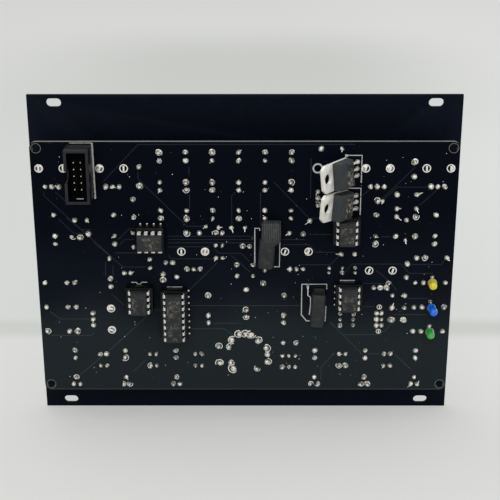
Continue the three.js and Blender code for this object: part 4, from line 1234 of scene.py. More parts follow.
@dataclass
class CircuitBoard:
    """The black circuit board with its pads, covered copper lines and printed outlines."""

    width: float = 157.4
    height: float = 100.0
    corner: float = 2.4
    edge: float = 0.22
    bare_edge: float = 0.6
    hole: float = 1.6
    hole_inset: float = 2.4
    rim_inner: float = 1.7
    rim_outer: float = 1.88
    rim_height: float = 0.05
    ring_hole: float = 1.35
    ring_pad: float = 1.95
    ring_at: Spot = Spot(26.8, 40.0)
    line: float = 0.36
    bus_left: float = -28.9
    bus_rows: Route = ((3.0, 13.7), (3.0, 12.4), (3.0, 11.1), (-13.1, 9.5))
    routes: tuple[Route, ...] = (
        ((-52.2, 34.9), (-38.9, 49.0), (40.2, 49.0)),
        ((-39.3, 38.6), (-39.3, 35.9), (-21.6, 17.6), (-15.7, 17.6)),
        ((-70.1, 31.0), (-66.5, 27.5)), ((-74.6, 31.2), (-74.2, 29.3), (-51.3, 6.5)),
        ((-20.5, 40.6), (-20.5, 37.5)), ((-20.5, 30.3), (-20.5, 24.7)),
        ((-3.5, 30.8), (-4.9, 29.5), (-4.9, 18.0)), ((5.8, 30.9), (5.8, 18.0)),
        ((10.6, 34.9), (23.9, 20.8), (28.7, 20.8)), ((24.3, 43.8), (24.3, 28.5)),
        ((62.5, 40.4), (51.0, 28.5)), ((67.9, 32.8), (56.3, 32.8), (51.4, 27.9)),
        ((70.7, 31.5), (64.8, 25.8)), ((45.8, 31.5), (42.8, 29.1)), ((-49.0, 7.1), (-40.7, 7.1)),
        ((-29.0, 6.1), (-27.6, 4.7), (-12.1, 4.7)), ((-10.2, 3.4), (-21.2, -7.9)),
        ((-11.6, 8.7), (-9.8, 6.9), (-1.5, 6.9), (1.7, 3.6)), ((-5.2, 6.1), (2.1, -0.8)),
        ((-21.1, -14.4), (21.0, -14.4)), ((-12.4, -21.7), (-1.6, -21.7)),
        ((-21.3, -24.0), (-8.2, -24.0), (-5.1, -26.3)),
        ((-47.6, 12.4), (-43.2, 16.7), (-41.1, 16.7)),
        ((-37.7, -18.7), (-51.4, -31.9), (-65.4, -44.2)),
        ((-75.0, -16.9), (-71.0, -19.9), (-59.7, -19.9)),
        ((-75.4, -26.8), (-59.5, -26.8), (-58.1, -25.5)), ((-38.8, -37.4), (-44.0, -42.3)),
        ((-47.0, 10.4), (-45.0, 12.4), (-41.3, 12.4)), ((-56.8, 11.2), (-46.1, 1.4), (-37.6, 1.4)),
        ((-69.4, 20.5), (-64.1, 14.8), (-59.7, 14.8)),
        ((-66.6, 21.0), (-61.2, 16.3), (-57.5, 16.3)), ((-52.8, 3.6), (-52.9, -2.4)),
        ((-50.0, 2.1), (-50.1, -2.4)), ((13.9, 12.4), (22.3, 12.4)),
        ((-50.9, -9.6), (-46.4, -14.2)), ((-36.1, -16.2), (-31.9, -16.2)),
        ((38.1, -0.5), (40.4, 2.6), (58.9, 2.6), (62.3, -1.2), (71.4, -1.2)),
        ((36.3, 6.7), (32.3, 2.3), (20.8, 2.3)), ((62.6, 2.4), (74.1, 2.4), (75.5, 4.3)),
        ((13.9, 10.4), (24.1, 10.4), (26.9, 7.3), (34.4, 7.3)), ((23.9, 14.4), (32.8, 14.4)),
        ((51.0, 13.5), (54.7, 13.5)), ((49.6, 0.1), (54.7, -4.2), (57.9, -8.2)),
        ((43.2, -5.3), (52.8, -5.3)), ((56.8, -18.1), (69.9, -18.1)),
        ((62.3, -11.4), (69.9, -11.4)), ((32.7, -21.2), (44.1, -33.1), (45.6, -35.0)),
        ((47.6, -34.6), (52.4, -34.6)), ((58.3, -35.0), (64.9, -41.4)),
        ((34.0, -35.2), (29.7, -40.0), (29.6, -46.0)),
        ((38.4, -26.5), (52.2, -26.5), (57.2, -21.3)), ((44.8, -14.7), (49.4, -14.7)),
    )

    def corners(self) -> list[Spot]:
        """Returns the places of the four corner holes."""
        across = self.width - 2 * self.hole_inset
        up = self.height - 2 * self.hole_inset
        return [Spot(x, z) for x, z in grid(across, 2, up, 2)]

    def holes(self) -> list[Form]:
        """Models the cutters of the corner holes and of the free ring's hole."""
        sizes = [*((self.hole, spot) for spot in self.corners()), (self.ring_hole, self.ring_at)]
        reach = (BOARD_REAR - OVERRUN, BOARD_FRONT + OVERRUN)
        return [Form.rod(radius, *reach, 28).placed(spot) for radius, spot in sizes]

    def plate(self) -> Form:
        """Models the board with its bare cut edge."""
        plate = Form.block(self.width, self.height, BOARD_REAR, BOARD_FRONT)
        plate.edged(lengthwise, self.corner, 6).placed().cut(*self.holes())
        foot = BOARD_MIDDLE - self.height / 2 + 0.05

        def lower_rear(middle: Vector, along: Vector) -> bool:
            """Says whether this is the long rear edge at the foot."""
            return abs(along.x) > FACING and middle.z < foot and middle.y < BOARD_REAR + 0.05

        plate.edged(lower_rear, self.edge).coated(Finish.MASK)
        side = self.width / 2 - self.corner / 2
        top, low = (BOARD_MIDDLE + way * (self.height / 2 - self.bare_edge) for way in (1, -1))

        def cut_edge(middle: Vector, normal: Vector) -> bool:
            """Says whether a face is part of the board's outer edge."""
            outside = abs(middle.x) > side or middle.z > top or middle.z < low
            return outside and abs(normal.y) < FACING

        return plate.coated(Finish.EDGE, cut_edge)

    def ring(self, outer: float, inner: float, finish: Finish) -> Form:
        """Models a thin ring on the board's rear face.

        Args:
            outer: Its outer radius.
            inner: Its inner radius.
            finish: Its finish.

        Returns:
            The ring.
        """
        face = BOARD_REAR - self.rim_height
        ring = Form.rod(outer, BOARD_REAR, face, 32)
        return ring.cut(Form.rod(inner, face - OVERRUN, BOARD_REAR + OVERRUN, 32)).coated(finish)

    def build(self) -> None:
        """Cuts and dresses the board and what lies on it."""
        self.plate().done("board_plate", "board", ["circuit_board"])
        bus = [((self.bus_left, z), (end, z)) for end, z in self.bus_rows]
        lines = Form.wires([*self.routes, *bus], self.line, BOARD_REAR, 0.2).placed()
        lines.coated(Finish.TRACE).done("copper_lines", "board")
        ink = Form.joined([line.model() for line in Printed]).placed()
        ink.coated(Finish.INK).done("printed_outlines", "board")
        pad = self.ring(self.ring_pad, self.ring_hole, Finish.INK)
        pad.placed(self.ring_at).done("ring_pad", "board")
        thin = self.ring(self.rim_outer, self.rim_inner, Finish.EDGE)
        Form.joined(thin.repeated(self.corners())).done("corner_rings", "board")


# Soldering


def heap(rings: Route, sides: int, x: float = 0, z: float = 0) -> Form:
    """Builds a round form from rings of a radius and a height above the board's rear face."""
    return Form.turned([(radius, BOARD_REAR - height) for radius, height in rings], sides, x, z)


@dataclass(frozen=True)
class Row:
    """The joints of a small part: a count of leads in a line."""

    x: float
    z: float
    count: int = 2
    pitch: float = 7.3
    upright: bool = False

    def spots(self) -> list[Spot]:
        """Returns the place of each lead."""
        line = [(i - (self.count - 1) / 2) * self.pitch for i in range(self.count)]
        if self.upright:
            return [Spot(self.x, self.z + step) for step in line]
        return [Spot(self.x + step, self.z) for step in line]


@dataclass
class Soldering:
    """All joints on the rear, each a fillet round a clipped lead."""

    sink: float = 0.05
    pad: float = 1.12
    lead: float = 0.34
    tall: float = 1.4
    full: float = 1.02
    sides: int = 9
    halo: float = 1.2
    halo_width: float = 0.24
    halo_height: float = 0.16
    halo_turns: Numbers = (0, 1.9, 4.1)
    tails: Route = ((0.4, 1.3), (2.2, 1.7), (4.4, 2.1))
    tail_lean: float = math.radians(72)
    tail_seat: float = 0.5
    lug_ring: float = 1.62
    lug_hole: float = 1.16
    lug_reach: float = 4.45
    lug_fills: Numbers = (0, 0, 0.35, 0.6, 0.8, 1)
    slide_lug_reach: float = 5.05
    slide_lug_share: float = 0.62
    jack_leads: Numbers = (6.48, 3.35, -4.92)
    pot_leads: float = -7.0
    lead_step: float = 2.5
    lamp_half: float = 1.27
    ragged: float = 0.2
    ragged_size: float = 0.8
    specks: int = 150
    seed: int = 11
    ring: Route = (
        (-10.2, -31.3), (-5.0, -28.7), (-6.1, -31.5), (-2.5, -26.2), (0.0, -26.1), (2.3, -26.3),
        (5.0, -28.8), (8.4, -32.2), (8.6, -34.9), (8.8, -37.8), (4.6, -40.8), (-4.9, -40.9),
        (-5.6, -38.4), (-10.1, -38.4),
    )
    lever_pins: Spot = Spot(17.0, -37.8)
    upper_sag: float = 0.4
    upper_from: float = 30
    small_parts: tuple[Row, ...] = (
        Row(-38.8, 36.9, upright=True), Row(-41.5, 24.7, upright=True, pitch=6.9),
        Row(-61.2, 20.1, pitch=4.6), Row(-63.2, 13.3, pitch=2.9), Row(-58.6, 14.7, count=1),
        Row(-41.9, 12.2, upright=True, pitch=5.6), Row(-44.6, -1.0, pitch=2.4),
        Row(-36.0, 2.8, upright=True, pitch=3.5), Row(-31.1, -2.7, upright=True, pitch=2.3),
        Row(-28.7, 3.2, pitch=2.6), Row(-25.9, -2.6, count=1), Row(-14.6, 17.6, count=1),
        Row(-19.4, 15.0, pitch=4.7), Row(-9.8, 15.0, pitch=2.6), Row(-9.9, 17.1, count=1),
        Row(-2.5, 17.1, pitch=5.1), Row(16.6, 15.0, count=1), Row(0.4, 9.7, pitch=2.5),
        Row(6.9, -5.2, count=1), Row(17.3, -29.9, pitch=5.3), Row(31.7, 47.4, pitch=7.6),
        Row(62.3, 39.6, upright=True, pitch=5.6), Row(60.0, 30.0), Row(60.1, 24.5), Row(60.1, 21.4),
        Row(60.3, 20.1, count=1), Row(60.1, 13.7), Row(50.0, 27.5, pitch=2.0),
        Row(60.1, 12.1, count=1), Row(21.8, 14.6, count=1), Row(24.2, 19.7, count=1),
        Row(27.0, 28.6, count=3, upright=True, pitch=2.5), Row(38.8, 6.6, pitch=5.0),
        Row(54.5, -5.2, count=1), Row(61.3, 0.0, upright=True, pitch=5.5),
        Row(60.9, -15.2, count=3, upright=True, pitch=5.05),
        Row(56.2, -15.2, count=3, upright=True, pitch=5.05),
    )
    close_parts: tuple[Row, ...] = (
        Row(31.8, 0.1, upright=True, pitch=1.9), Row(36.8, 0.1, upright=True, pitch=1.9),
        Row(41.7, 0.1, upright=True, pitch=1.9), Row(36.5, -20.1, count=3, upright=True, pitch=2.4),
        Row(41.5, -20.1, count=3, upright=True, pitch=2.4), Row(71.0, -2.6, count=1),
        Row(70.8, -12.7, count=1), Row(71.0, -22.9, count=1),
    )
    filled_holes: tuple[Row, ...] = (
        Row(-35.3, 18.5, 4, PIN_PITCH), Row(-21.6, -17.1, 8, PIN_PITCH, True),
        Row(34.3, -10.2, 4, PIN_PITCH, True),
    )

    def joint(self, rings: Route, tip_from: float) -> Form:
        """Models solder round a lead whose tip shows above a height."""
        form = heap(rings, self.sides).coated(Finish.SOLDER)
        return form.coated(Finish.TIN, lambda middle, _: middle.y < BOARD_REAR - tip_from)

    def cone(self) -> Form:
        """Models a hollow fillet round a clipped lead."""
        rings = [
            (self.pad, -self.sink), (self.pad, 0.08), (self.pad * 0.62, 0.42),
            (self.lead * 1.3, 0.85), (self.lead, self.tall),
        ]
        return self.joint(rings, 1.0)

    def ball(self, size: float) -> Form:
        """Models a full round joint, through which its lead's tip shows.

        Args:
            size: Its radius.

        Returns:
            The joint.
        """
        rings = [
            (size, -self.sink), (size * 0.98, 0.28), (size * 0.8, 0.66), (size * 0.42, 0.95),
            (self.lead * 0.9, 1.02), (self.lead * 0.8, 1.25),
        ]
        return self.joint(rings, 0.97)

    def rim(self, rings: Route, sides: int, floor: Finish) -> Form:
        """Models a tinned ring round a floor of another finish.

        Args:
            rings: Radius and height of each ring.
            sides: How many sides it has.
            floor: The floor's finish.

        Returns:
            The ring.
        """
        inside = rings[-1][0] * 0.6

        def sunken(middle: Vector, _: Vector) -> bool:
            """Says whether a face is part of the floor."""
            return middle.xz.length < inside and middle.y > BOARD_REAR - 0.1

        return heap(rings, sides).coated(Finish.TIN).coated(floor, sunken)

    def crescent(self, turn: float) -> Form:
        """Models the part of a bare pad that a small joint leaves free.

        Args:
            turn: Which way it opens, about Y.

        Returns:
            The crescent with its joint.
        """
        inner = self.halo - self.halo_width
        rings = [
            (self.halo, -0.02), (self.halo - 0.04, self.halo_height), (inner, self.halo_height),
            (inner, 0.03),
        ]
        ring = self.rim(rings, 14, Finish.MASK)
        horn = Vector((-self.halo * 0.45, 0, 0))
        ring.split(horn, Vector((1, 0, 0))).split(horn, Vector((-1, 0, 0)), keep=False)
        return Form.joined([ring.moved(spin(turn)), self.ball(0.84).moved(shift(-0.2, 0, 0.1))])

    def tailed(self, turn: float, reach: float) -> Form:
        """Models a joint whose lead was bent aside before it was clipped.

        Args:
            turn: Which way the lead lies, about Y.
            reach: The lead's length.

        Returns:
            The joint.
        """
        tail = Form.turned([(0.21, 0), (0.2, -reach * 0.6), (0.12, -reach)], 6)
        seat = shift(0, BOARD_REAR - self.tail_seat)
        tail.coated(Finish.TIN).moved(spin(turn) @ seat @ spin(self.tail_lean, "Z"))
        return Form.joined([self.ball(0.95), tail])

    def lug(self, fill: float) -> Form:
        """Models a housing lug in its ringed hole.

        Args:
            fill: How much of the hole the solder fills, from 0 to 1.

        Returns:
            The form.
        """
        rings = [
            (self.lug_ring, -self.sink), (self.lug_ring - 0.04, 0.16), (self.lug_hole + 0.08, 0.2),
            (self.lug_hole, 0.03),
        ]
        # Painted shade on the ring's floor, where the lug's hole is.
        ring = self.rim(rings, 20, Finish.HOLLOW_SHADE)
        tongue = Form.block(0.7, 1.9, BOARD_REAR - 0.7, BOARD_REAR).rounded(0.12)
        parts = [ring, tongue.coated(Finish.TIN)]
        if fill:
            reach = self.lug_hole + 0.12
            dome = heap([(reach, 0), (reach * 0.96, 0.24), (reach * 0.6, 0.4)], 14)
            if fill < 1:
                edge = Vector((reach * (2 * fill - 1), BOARD_REAR, 0))
                dome.split(edge, Vector((1, 0, 0)), keep=False)
            parts.append(dome.coated(Finish.SOLDER))
        return Form.joined(parts)

    def lay(self, name: str, spots: Sequence[Spot], mix: Sequence[Form], size: float) -> None:
        """Solders a group of leads.

        Args:
            name: The piece's name.
            spots: Where the leads come out.
            mix: The joints to choose from.
            size: How wide they are beside the usual joint.
        """
        chance = random.Random(f"{self.seed} {name}")
        joints = []
        for spot in spots:
            wide = size * chance.uniform(0.86, 1.14)
            own = spin(chance.uniform(0, FULL_TURN))
            own @= stretch(wide, wide * chance.uniform(0.8, 1.2))
            joints.append(chance.choice(mix).copied(spot.matrix() @ own))
        ragged = Form.joined(joints).warped(self.ragged, self.ragged_size, self.seed)
        ragged.done(name, "nickel", ["circuit_board"], angle=50)

    def jack_spots(self) -> list[Spot]:
        """Returns the leads of all jacks, those of the upper ones a little lower."""
        leads = [s.beside(0, z) for s in LAYOUT.every_jack() for z in self.jack_leads]
        return [Spot(s.x, s.z - self.upper_sag * (s.z > self.upper_from)) for s in leads]

    def button_spots(self) -> list[Spot]:
        """Returns the leads of all push switches."""
        *large, tact = LAYOUT.buttons()
        leads = [s.beside(x, z) for s in large for x, z in grid(self.lead_step, 2, 5, 2)]
        return leads + [tact.beside(x, z) for x, z in grid(6.1, 2, 4.4, 2)]

    def build(self) -> None:
        """Solders every group of leads."""
        cone, ball = self.cone(), self.ball(self.full)
        crescents = [self.crescent(turn) for turn in self.halo_turns]
        tails = [self.tailed(turn, reach) for turn, reach in self.tails]
        plain = (cone, ball, ball)
        mix = (*plain, *plain, crescents[0], tails[0])
        rough = (*plain, crescents[1], *tails)
        step = self.lead_step
        pots, lamps, slide = LAYOUT.pots(), LAYOUT.front_lamps(), LAYOUT.slide()
        pins = [s.beside(x, self.pot_leads) for s in pots for x in (-step, 0, step)]
        lever = [self.lever_pins.beside(x, z) for x, z in grid(step, 3, 4.8, 2)]
        under_lamps = [s.beside(x, 0) for s in lamps for x in (-self.lamp_half, self.lamp_half)]
        small = [s for row in self.small_parts for s in row.spots()]
        close = [s for row in self.close_parts for s in row.spots()]
        double = [slide.beside(x, z) for x, z in grid(1.9, 2, PIN_PITCH, 3)]
        self.lay("jack_joints", self.jack_spots(), mix, 1)
        self.lay("pot_joints", pins, (*plain, tails[0]), 1)
        self.lay("button_joints", self.button_spots(), mix, 0.9)
        self.lay("toggle_joints", lever, (ball, cone, tails[0]), 0.85)
        self.lay("lamp_joints", under_lamps, (*rough, crescents[2]), 1)
        self.lay("small_part_joints", small, rough, 1)
        self.lay("close_joints", close, mix, 0.72)
        self.lay("rotary_joints", [Spot(x, z) for x, z in self.ring], (ball, *crescents), 1.32)
        self.lay("slide_joints", double, (ball,), 0.95)
        for form in (cone, ball, *crescents, *tails):
            form.spent()
        self.lugs()
        self.beads()

    def lugs(self) -> None:
        """Solders the housing lugs of the potentiometers and the slide switch."""
        chance = random.Random(self.seed)
        kinds = [self.lug(fill) for fill in self.lug_fills]
        copies = []
        for spot in (s.beside(x, 0) for s in LAYOUT.pots() for x in (-self.lug_reach, self.lug_reach)):
            own = spin(chance.choice((0, HALF_TURN, 0.3)))
            copies.append(chance.choice(kinds).copied(spot.matrix() @ own))
        small = stretch(self.slide_lug_share, self.slide_lug_share)
        for z in (-self.slide_lug_reach, self.slide_lug_reach):
            copies.append(kinds[0].copied(LAYOUT.slide().beside(0, z).matrix() @ small))
        Form.joined(copies).done("lug_joints", "nickel", ["circuit_board"], angle=50)
        for kind in kinds:
            kind.spent()

    def beads(self) -> None:
        """Lays beads of solder: filled through-holes in rows, and specks between the joints."""
        chance = random.Random(self.seed)
        bead = heap([(0.3, -0.02), (0.26, 0.12), (0.1, 0.18)], 7).coated(Finish.TIN)
        holes = [spot for row in self.filled_holes for spot in row.spots()]
        moves = [spot.matrix() @ stretch(1.35, 1.35) for spot in holes]
        for _ in range(self.specks):
            spot = Spot(chance.uniform(-74, 74), chance.uniform(-46, 46))
            size = chance.uniform(0.2, 0.6)
            moves.append(spot.matrix() @ stretch(size, size))
        Form.joined(bead.repeated(moves)).done("beads", "nickel")


# Parts on the rear


@dataclass
class PowerHeader:
    """The shrouded ten-pin power header with its key notch."""

    spot: Spot = Spot(-60.45, 38.9)
    width: float = 9.0
    length: float = 20.3
    rim: float = -21.7
    floor: float = -15.1
    wall: float = 1.1
    key: float = 4.5
    sink: float = 0.05
    highlight_bar_width: float = 2.6
    highlight_bar_height: float = 0.3
    highlight_bar_side: float = 0.6
    highlight_bar_gap: float = 0.7
    pin: float = 0.64
    pin_tip: float = -19.6
    pin_taper: float = 0.4
    pin_point: float = 0.55

    def shroud(self) -> Form:
        """Models the shroud with its hollow, notch and a pale bar of painted highlight on its lower inner
        wall.
        """
        form = Form.block(self.width, self.length, self.rim, BOARD_REAR - 0.1)
        form.pressed(rearward, self.wall, 0)
        across, up = self.width / 2 - self.wall, self.length / 2 - self.wall
        well = self.rim - self.floor
        form.pressed(lambda m, n: rearward(m, n) and m.xz.length < across, 0.01, well)
        end = self.floor - self.sink
        form.cut(Form.block(self.wall * 3, self.key, self.rim - OVERRUN, end, -self.width / 2))
        form.rounded(0.14, 2, 40).coated(Finish.MOULDING)
        across, up = across + self.sink, up + self.sink

        def inside(middle: Vector, _: Vector) -> bool:
            """Says whether a face is part of the hollow."""
            return middle.y > self.rim + 0.3 and abs(middle.x) < across and abs(middle.z) < up

        # Painted shade inside the shroud's hollow.
        form.coated(Finish.HOLLOW_SHADE, inside)
        # Painted highlight on the shroud's rear-facing rim.
        form.coated(Finish.EDGE_HIGHLIGHT, lambda m, n: rearward(m, n) and m.y < self.rim + 0.1)
        # Painted highlight: a pale bar in white ink on the lower inner wall, where light falls.
        size = (self.highlight_bar_width, self.highlight_bar_height, self.rim + 1.6, self.rim + 2.0)
        highlight_bar = Form.block(*size, self.highlight_bar_side, -up + self.highlight_bar_gap)
        return Form.joined([form, highlight_bar.rounded(0.08, 1).coated(Finish.INK)])

    def pins(self) -> list[Form]:
        """Models the ten square pins."""
        pin = Form.block(self.pin, self.pin, self.pin_tip, self.floor + 0.5)
        share = (self.pin_point, 1, self.pin_point)
        pin.sized(rearward, share, Vector((0, self.pin_tip, 0)))
        pin.split(Vector((0, self.pin_tip + self.pin_taper, 0)), Vector((0, 1, 0)))
        pin.rounded(0.05, 1).coated(Finish.SHADED)
        pin.coated(Finish.TIN, lambda m, _: m.y < self.pin_tip + self.pin_taper - 0.02)
        return pin.repeated(grid_moves(PIN_PITCH, 2, PIN_PITCH, 5))

    def build(self) -> None:
        """Builds the header on its place."""
        form = Form.joined([self.shroud(), *self.pins()]).placed(self.spot)
        form.done("header_shroud", "moulding", ["power_header"])


@dataclass
class Chips:
    """Dual in-line chips in their sockets."""

    width: float = 6.35
    near: float = -20.8
    far: float = -17.5
    draft: Point = (0.91, 1, 0.955)
    row: float = 7.62
    margin: float = 0.4
    notch: float = 0.85
    notch_depth: float = 0.5
    dimple: float = 0.45
    dimple_depth: float = 0.12
    dimple_side: float = 2
    dimple_gap: float = 1.3
    field_side: float = 1.5
    field_end: float = 3
    leg: float = 0.3
    leg_width: float = 1.3
    blade_width: float = 0.55
    leg_tip: float = -15.8
    socket_top: float = -17.0
    rail: float = 2.54
    bridge: float = 1.5
    rim_width: float = 1.0
    rim_length: float = 0.9
    places: tuple[tuple[str, int, Spot], ...] = (
        ("chip_1", 8, Spot(-35.26, 13.2, -QUARTER)),
        ("chip_2", 8, Spot(37.78, 16.7)),
        ("chip_3", 8, Spot(-39.98, -10.75)),
        ("chip_4", 16, Spot(-26.92, -17.1)),
        ("chip_5", 8, Spot(39.35, -9.4)),
    )

    @property
    def middle(self) -> float:
        """The place along Y of a chip's parting line."""
        return (self.near + self.far) / 2

    def body(self, legs: int) -> Form:
        """Models a chip's body with its draft, end notch, first-leg dimple and printed field.

        Args:
            legs: How many legs it has.

        Returns:
            The body.
        """
        near, end = self.near, legs / 2 * PIN_PITCH - 2 * self.margin
        form = Form.block(self.width, end, near, self.far)
        form.split(Vector((0, self.middle, 0)), Vector((0, 1, 0)))
        form.sized(rearward, self.draft, Vector((0, near, 0)))
        form.sized(frontward, self.draft, Vector((0, self.far, 0)))
        top = end / 2
        notch = Form.rod(self.notch, near - OVERRUN, near + self.notch_depth, 20, 0, top)
        depth, corner = near + self.dimple_depth, top - self.dimple_gap
        dimple = Form.rod(self.dimple, near - OVERRUN, depth, 16, -self.dimple_side, corner)
        form.cut(notch, dimple).rounded(0.1, 2, 40).coated(Finish.CHIP)
        size = (self.width - self.field_side, end - self.field_end)
        mark = Form.block(*size, near - 0.012, near + 0.1, 0, -self.notch_depth)
        return Form.joined([form, mark.rounded(0.3, 2, 80).coated(Finish.CHIP_PRINT)])

    def legs(self, legs: int) -> list[Form]:
        """Models the legs, each with its shoulder and its narrower blade.

        Args:
            legs: How many legs the chip has.

        Returns:
            The legs.
        """
        outer = (self.row + self.leg) / 2
        inner = self.width / 2 - 0.35
        rear, front = self.middle - self.leg / 2, self.middle + self.leg / 2
        side = outer - self.leg / 2
        arm = Form.block(outer - inner, self.leg_width, rear, front, (outer + inner) / 2)
        drop = Form.block(self.leg, self.leg_width, rear, self.socket_top - 0.3, side)
        blade = Form.block(self.leg, self.blade_width, self.socket_top - 0.4, self.leg_tip, side)
        leg = Form.joined([arm, drop, blade]).rounded(0.09, 2, 60).coated(Finish.LEG)
        steps = grid_moves(0, 1, PIN_PITCH, legs // 2)
        return leg.repeated(spin(turn) @ step for turn in (0, HALF_TURN) for step in steps)

    def socket(self, legs: int) -> Form:
        """Models a socket: two rails and two bridges, with a dark patch of painted shade over the contact
        opening under each leg.

        Args:
            legs: How many legs the chip has.

        Returns:
            The socket.
        """
        length = legs / 2 * PIN_PITCH
        opening = Form.block(self.row - self.rail, length - 2 * self.bridge, -30, 0)
        form = Form.block(self.row + self.rail, length, self.socket_top, BOARD_REAR + 0.2)
        form.cut(opening).rounded(0.16, 2, 40).coated(Finish.DARK)
        depth = (self.socket_top - 0.02, self.socket_top + 0.4)
        rim = Form.block(self.rim_width, self.rim_length, *depth).rounded(0.1, 1)
        moves = grid_moves(self.row, 2, PIN_PITCH, legs // 2)
        # Painted shade: a dark patch on each contact's opening.
        return Form.joined([form, *rim.coated(Finish.HOLLOW_SHADE).repeated(moves)])

    def build(self) -> None:
        """Builds each kind of chip once and copies it to its places."""
        kinds = {}
        for legs in (8, 16):
            chip = Form.joined([self.body(legs), *self.legs(legs)])
            kinds[legs] = (chip, self.socket(legs))
        for node, legs, spot in self.places:
            chip, socket = (form.copied(spot.matrix()) for form in kinds[legs])
            chip.done(f"{node}_body", "chip", [node])
            socket.done(f"{node}_socket", "moulding", ["circuit_board"])
        for chip, socket in kinds.values():
            chip.spent()
            socket.spent()


@dataclass
class Regulators:
    """Two regulators in tab packages that lean off the board."""

    column: float = 41.3
    rows: Numbers = (39.9, 27.1)
    twists: Numbers = (math.radians(-5), math.radians(4))
    lean: float = math.radians(48)
    half: float = 5.1
    leg: float = 4.0
    body: float = 9.0
    draft: Point = (0.86, 1, 0.96)
    tab_reach: float = 5.5
    tab: float = 1.3
    face: float = -3.2
    hole: float = 1.9
    hole_inset: float = 2.8
    chamfer: float = 1.4
    mark: float = 0.8
    mark_inset: float = 1.8
    field_width: float = 3.9
    field_length: float = 8.6
    field_at: float = 2.7
    leg_width: float = 0.9
    leg_thick: float = 0.5
    shoulder: float = 1.6
    shoulder_width: float = 1.35
    leg_line: float = -1.1
    stub: float = 0.3

    def package(self) -> Form:
        """Models body, tab and legs before they lean."""
        end = -self.leg - self.body
        reach = end - self.tab_reach
        middle = end + self.body / 2
        plate = Form.block(-reach - self.leg, 2 * self.half, 0, self.tab, (reach - self.leg) / 2)
        plate.edged(lambda m, along: lengthwise(m, along) and m.x < reach + 0.1, self.chamfer)
        plate.cut(Form.rod(self.hole, -5, 5, 28, reach + self.hole_inset))
        plate.rounded(0.08, 2, 40).coated(Finish.TAB)
        body = Form.block(self.body, 2 * self.half, self.face, self.tab / 2, middle)
        body.sized(rearward, self.draft, Vector((middle, self.face, 0)))
        depth = (self.face - OVERRUN, self.face + 0.12)
        body.cut(Form.rod(self.mark, *depth, 18, end + self.mark_inset))
        body.rounded(0.18).coated(Finish.EPOXY)
        size = (self.field_width, self.field_length, self.face - 0.012, self.face + 0.1)
        print_field = Form.block(*size, -self.leg - self.field_at)
        print_field.rounded(0.3, 2, 80).coated(Finish.EPOXY_PRINT)
        thick = (self.leg_line - self.leg_thick / 2, self.leg_line + self.leg_thick / 2)
        leg = Form.block(self.leg + 0.6, self.leg_width, *thick, -self.leg / 2)
        wide = Form.block(self.shoulder, self.shoulder_width, *thick, -self.leg + self.shoulder / 4)
        leg = Form.joined([leg, wide]).rounded(0.08, 1).coated(Finish.TIN)
        legs = leg.repeated(grid_moves(0, 1, PIN_PITCH, 3))
        return Form.joined([plate, body, print_field, *legs])

    def lie(self) -> Matrix:
        """Returns the move from the flat package to the leaning one."""
        return shift(0, BOARD_REAR - self.stub) @ spin(self.lean, "Z") @ shift(0, -self.leg_line)

    def feet(self) -> Form:
        """Models the upright ends of the three legs with their solder."""
        top = BOARD_REAR - self.stub - 0.3
        foot = Form.block(self.leg_thick, self.leg_width, top, BOARD_REAR).rounded(0.08, 1)
        seat = heap([(0.95, -0.05), (0.9, 0.2), (0.6, 0.55), (0.42, 0.8)], 12)
        whole = Form.joined([foot.coated(Finish.TIN), seat.coated(Finish.SOLDER)])
        return Form.joined(whole.repeated(grid_moves(0, 1, PIN_PITCH, 3)))

    def build(self) -> None:
        """Builds one regulator and copies it to its two places."""
        package = self.package().moved(self.lie())
        feet = self.feet()
        for number, (z, twist) in enumerate(zip(self.rows, self.twists), 1):
            node = f"regulator_{number}"
            leaning = package.copied(Spot(self.column, z, twist).matrix())
            standing = feet.copied(Spot(self.column, z).matrix())
            Form.joined([leaning, standing]).done(f"{node}_package", "regulator", [node])
        package.spent()
        feet.spent()


@dataclass(frozen=True)
class Sleeve:
    """One shrunk sleeve: its place and size, and how much narrower and flatter its ends are."""

    spot: Spot
    width: float
    length: float
    finish: Finish = Finish.SLEEVE
    near: float = -18.1
    far: float = -13.1
    shoulder: float = 0.9
    ends: Point = (0.9, 0.86, 1)

    def model(self) -> Form:
        """Models the sleeve, drawn in at its ends, on its place."""
        form = Form.block(self.width, self.length, self.near, self.far)
        form.edged(lambda _, along: abs(along.z) > FACING, 1.3, 4)
        for way in (1, -1):
            end = way * self.length / 2
            form.split(Vector((0, 0, end - way * self.shoulder)), Vector((0, 0, 1)))
            middle = Vector((0, (self.near + self.far) / 2, end))
            form.sized(lambda _, n: n.z * way > FACING, self.ends, middle)
        return form.rounded(0.3, 2, 50).coated(self.finish).placed(self.spot)


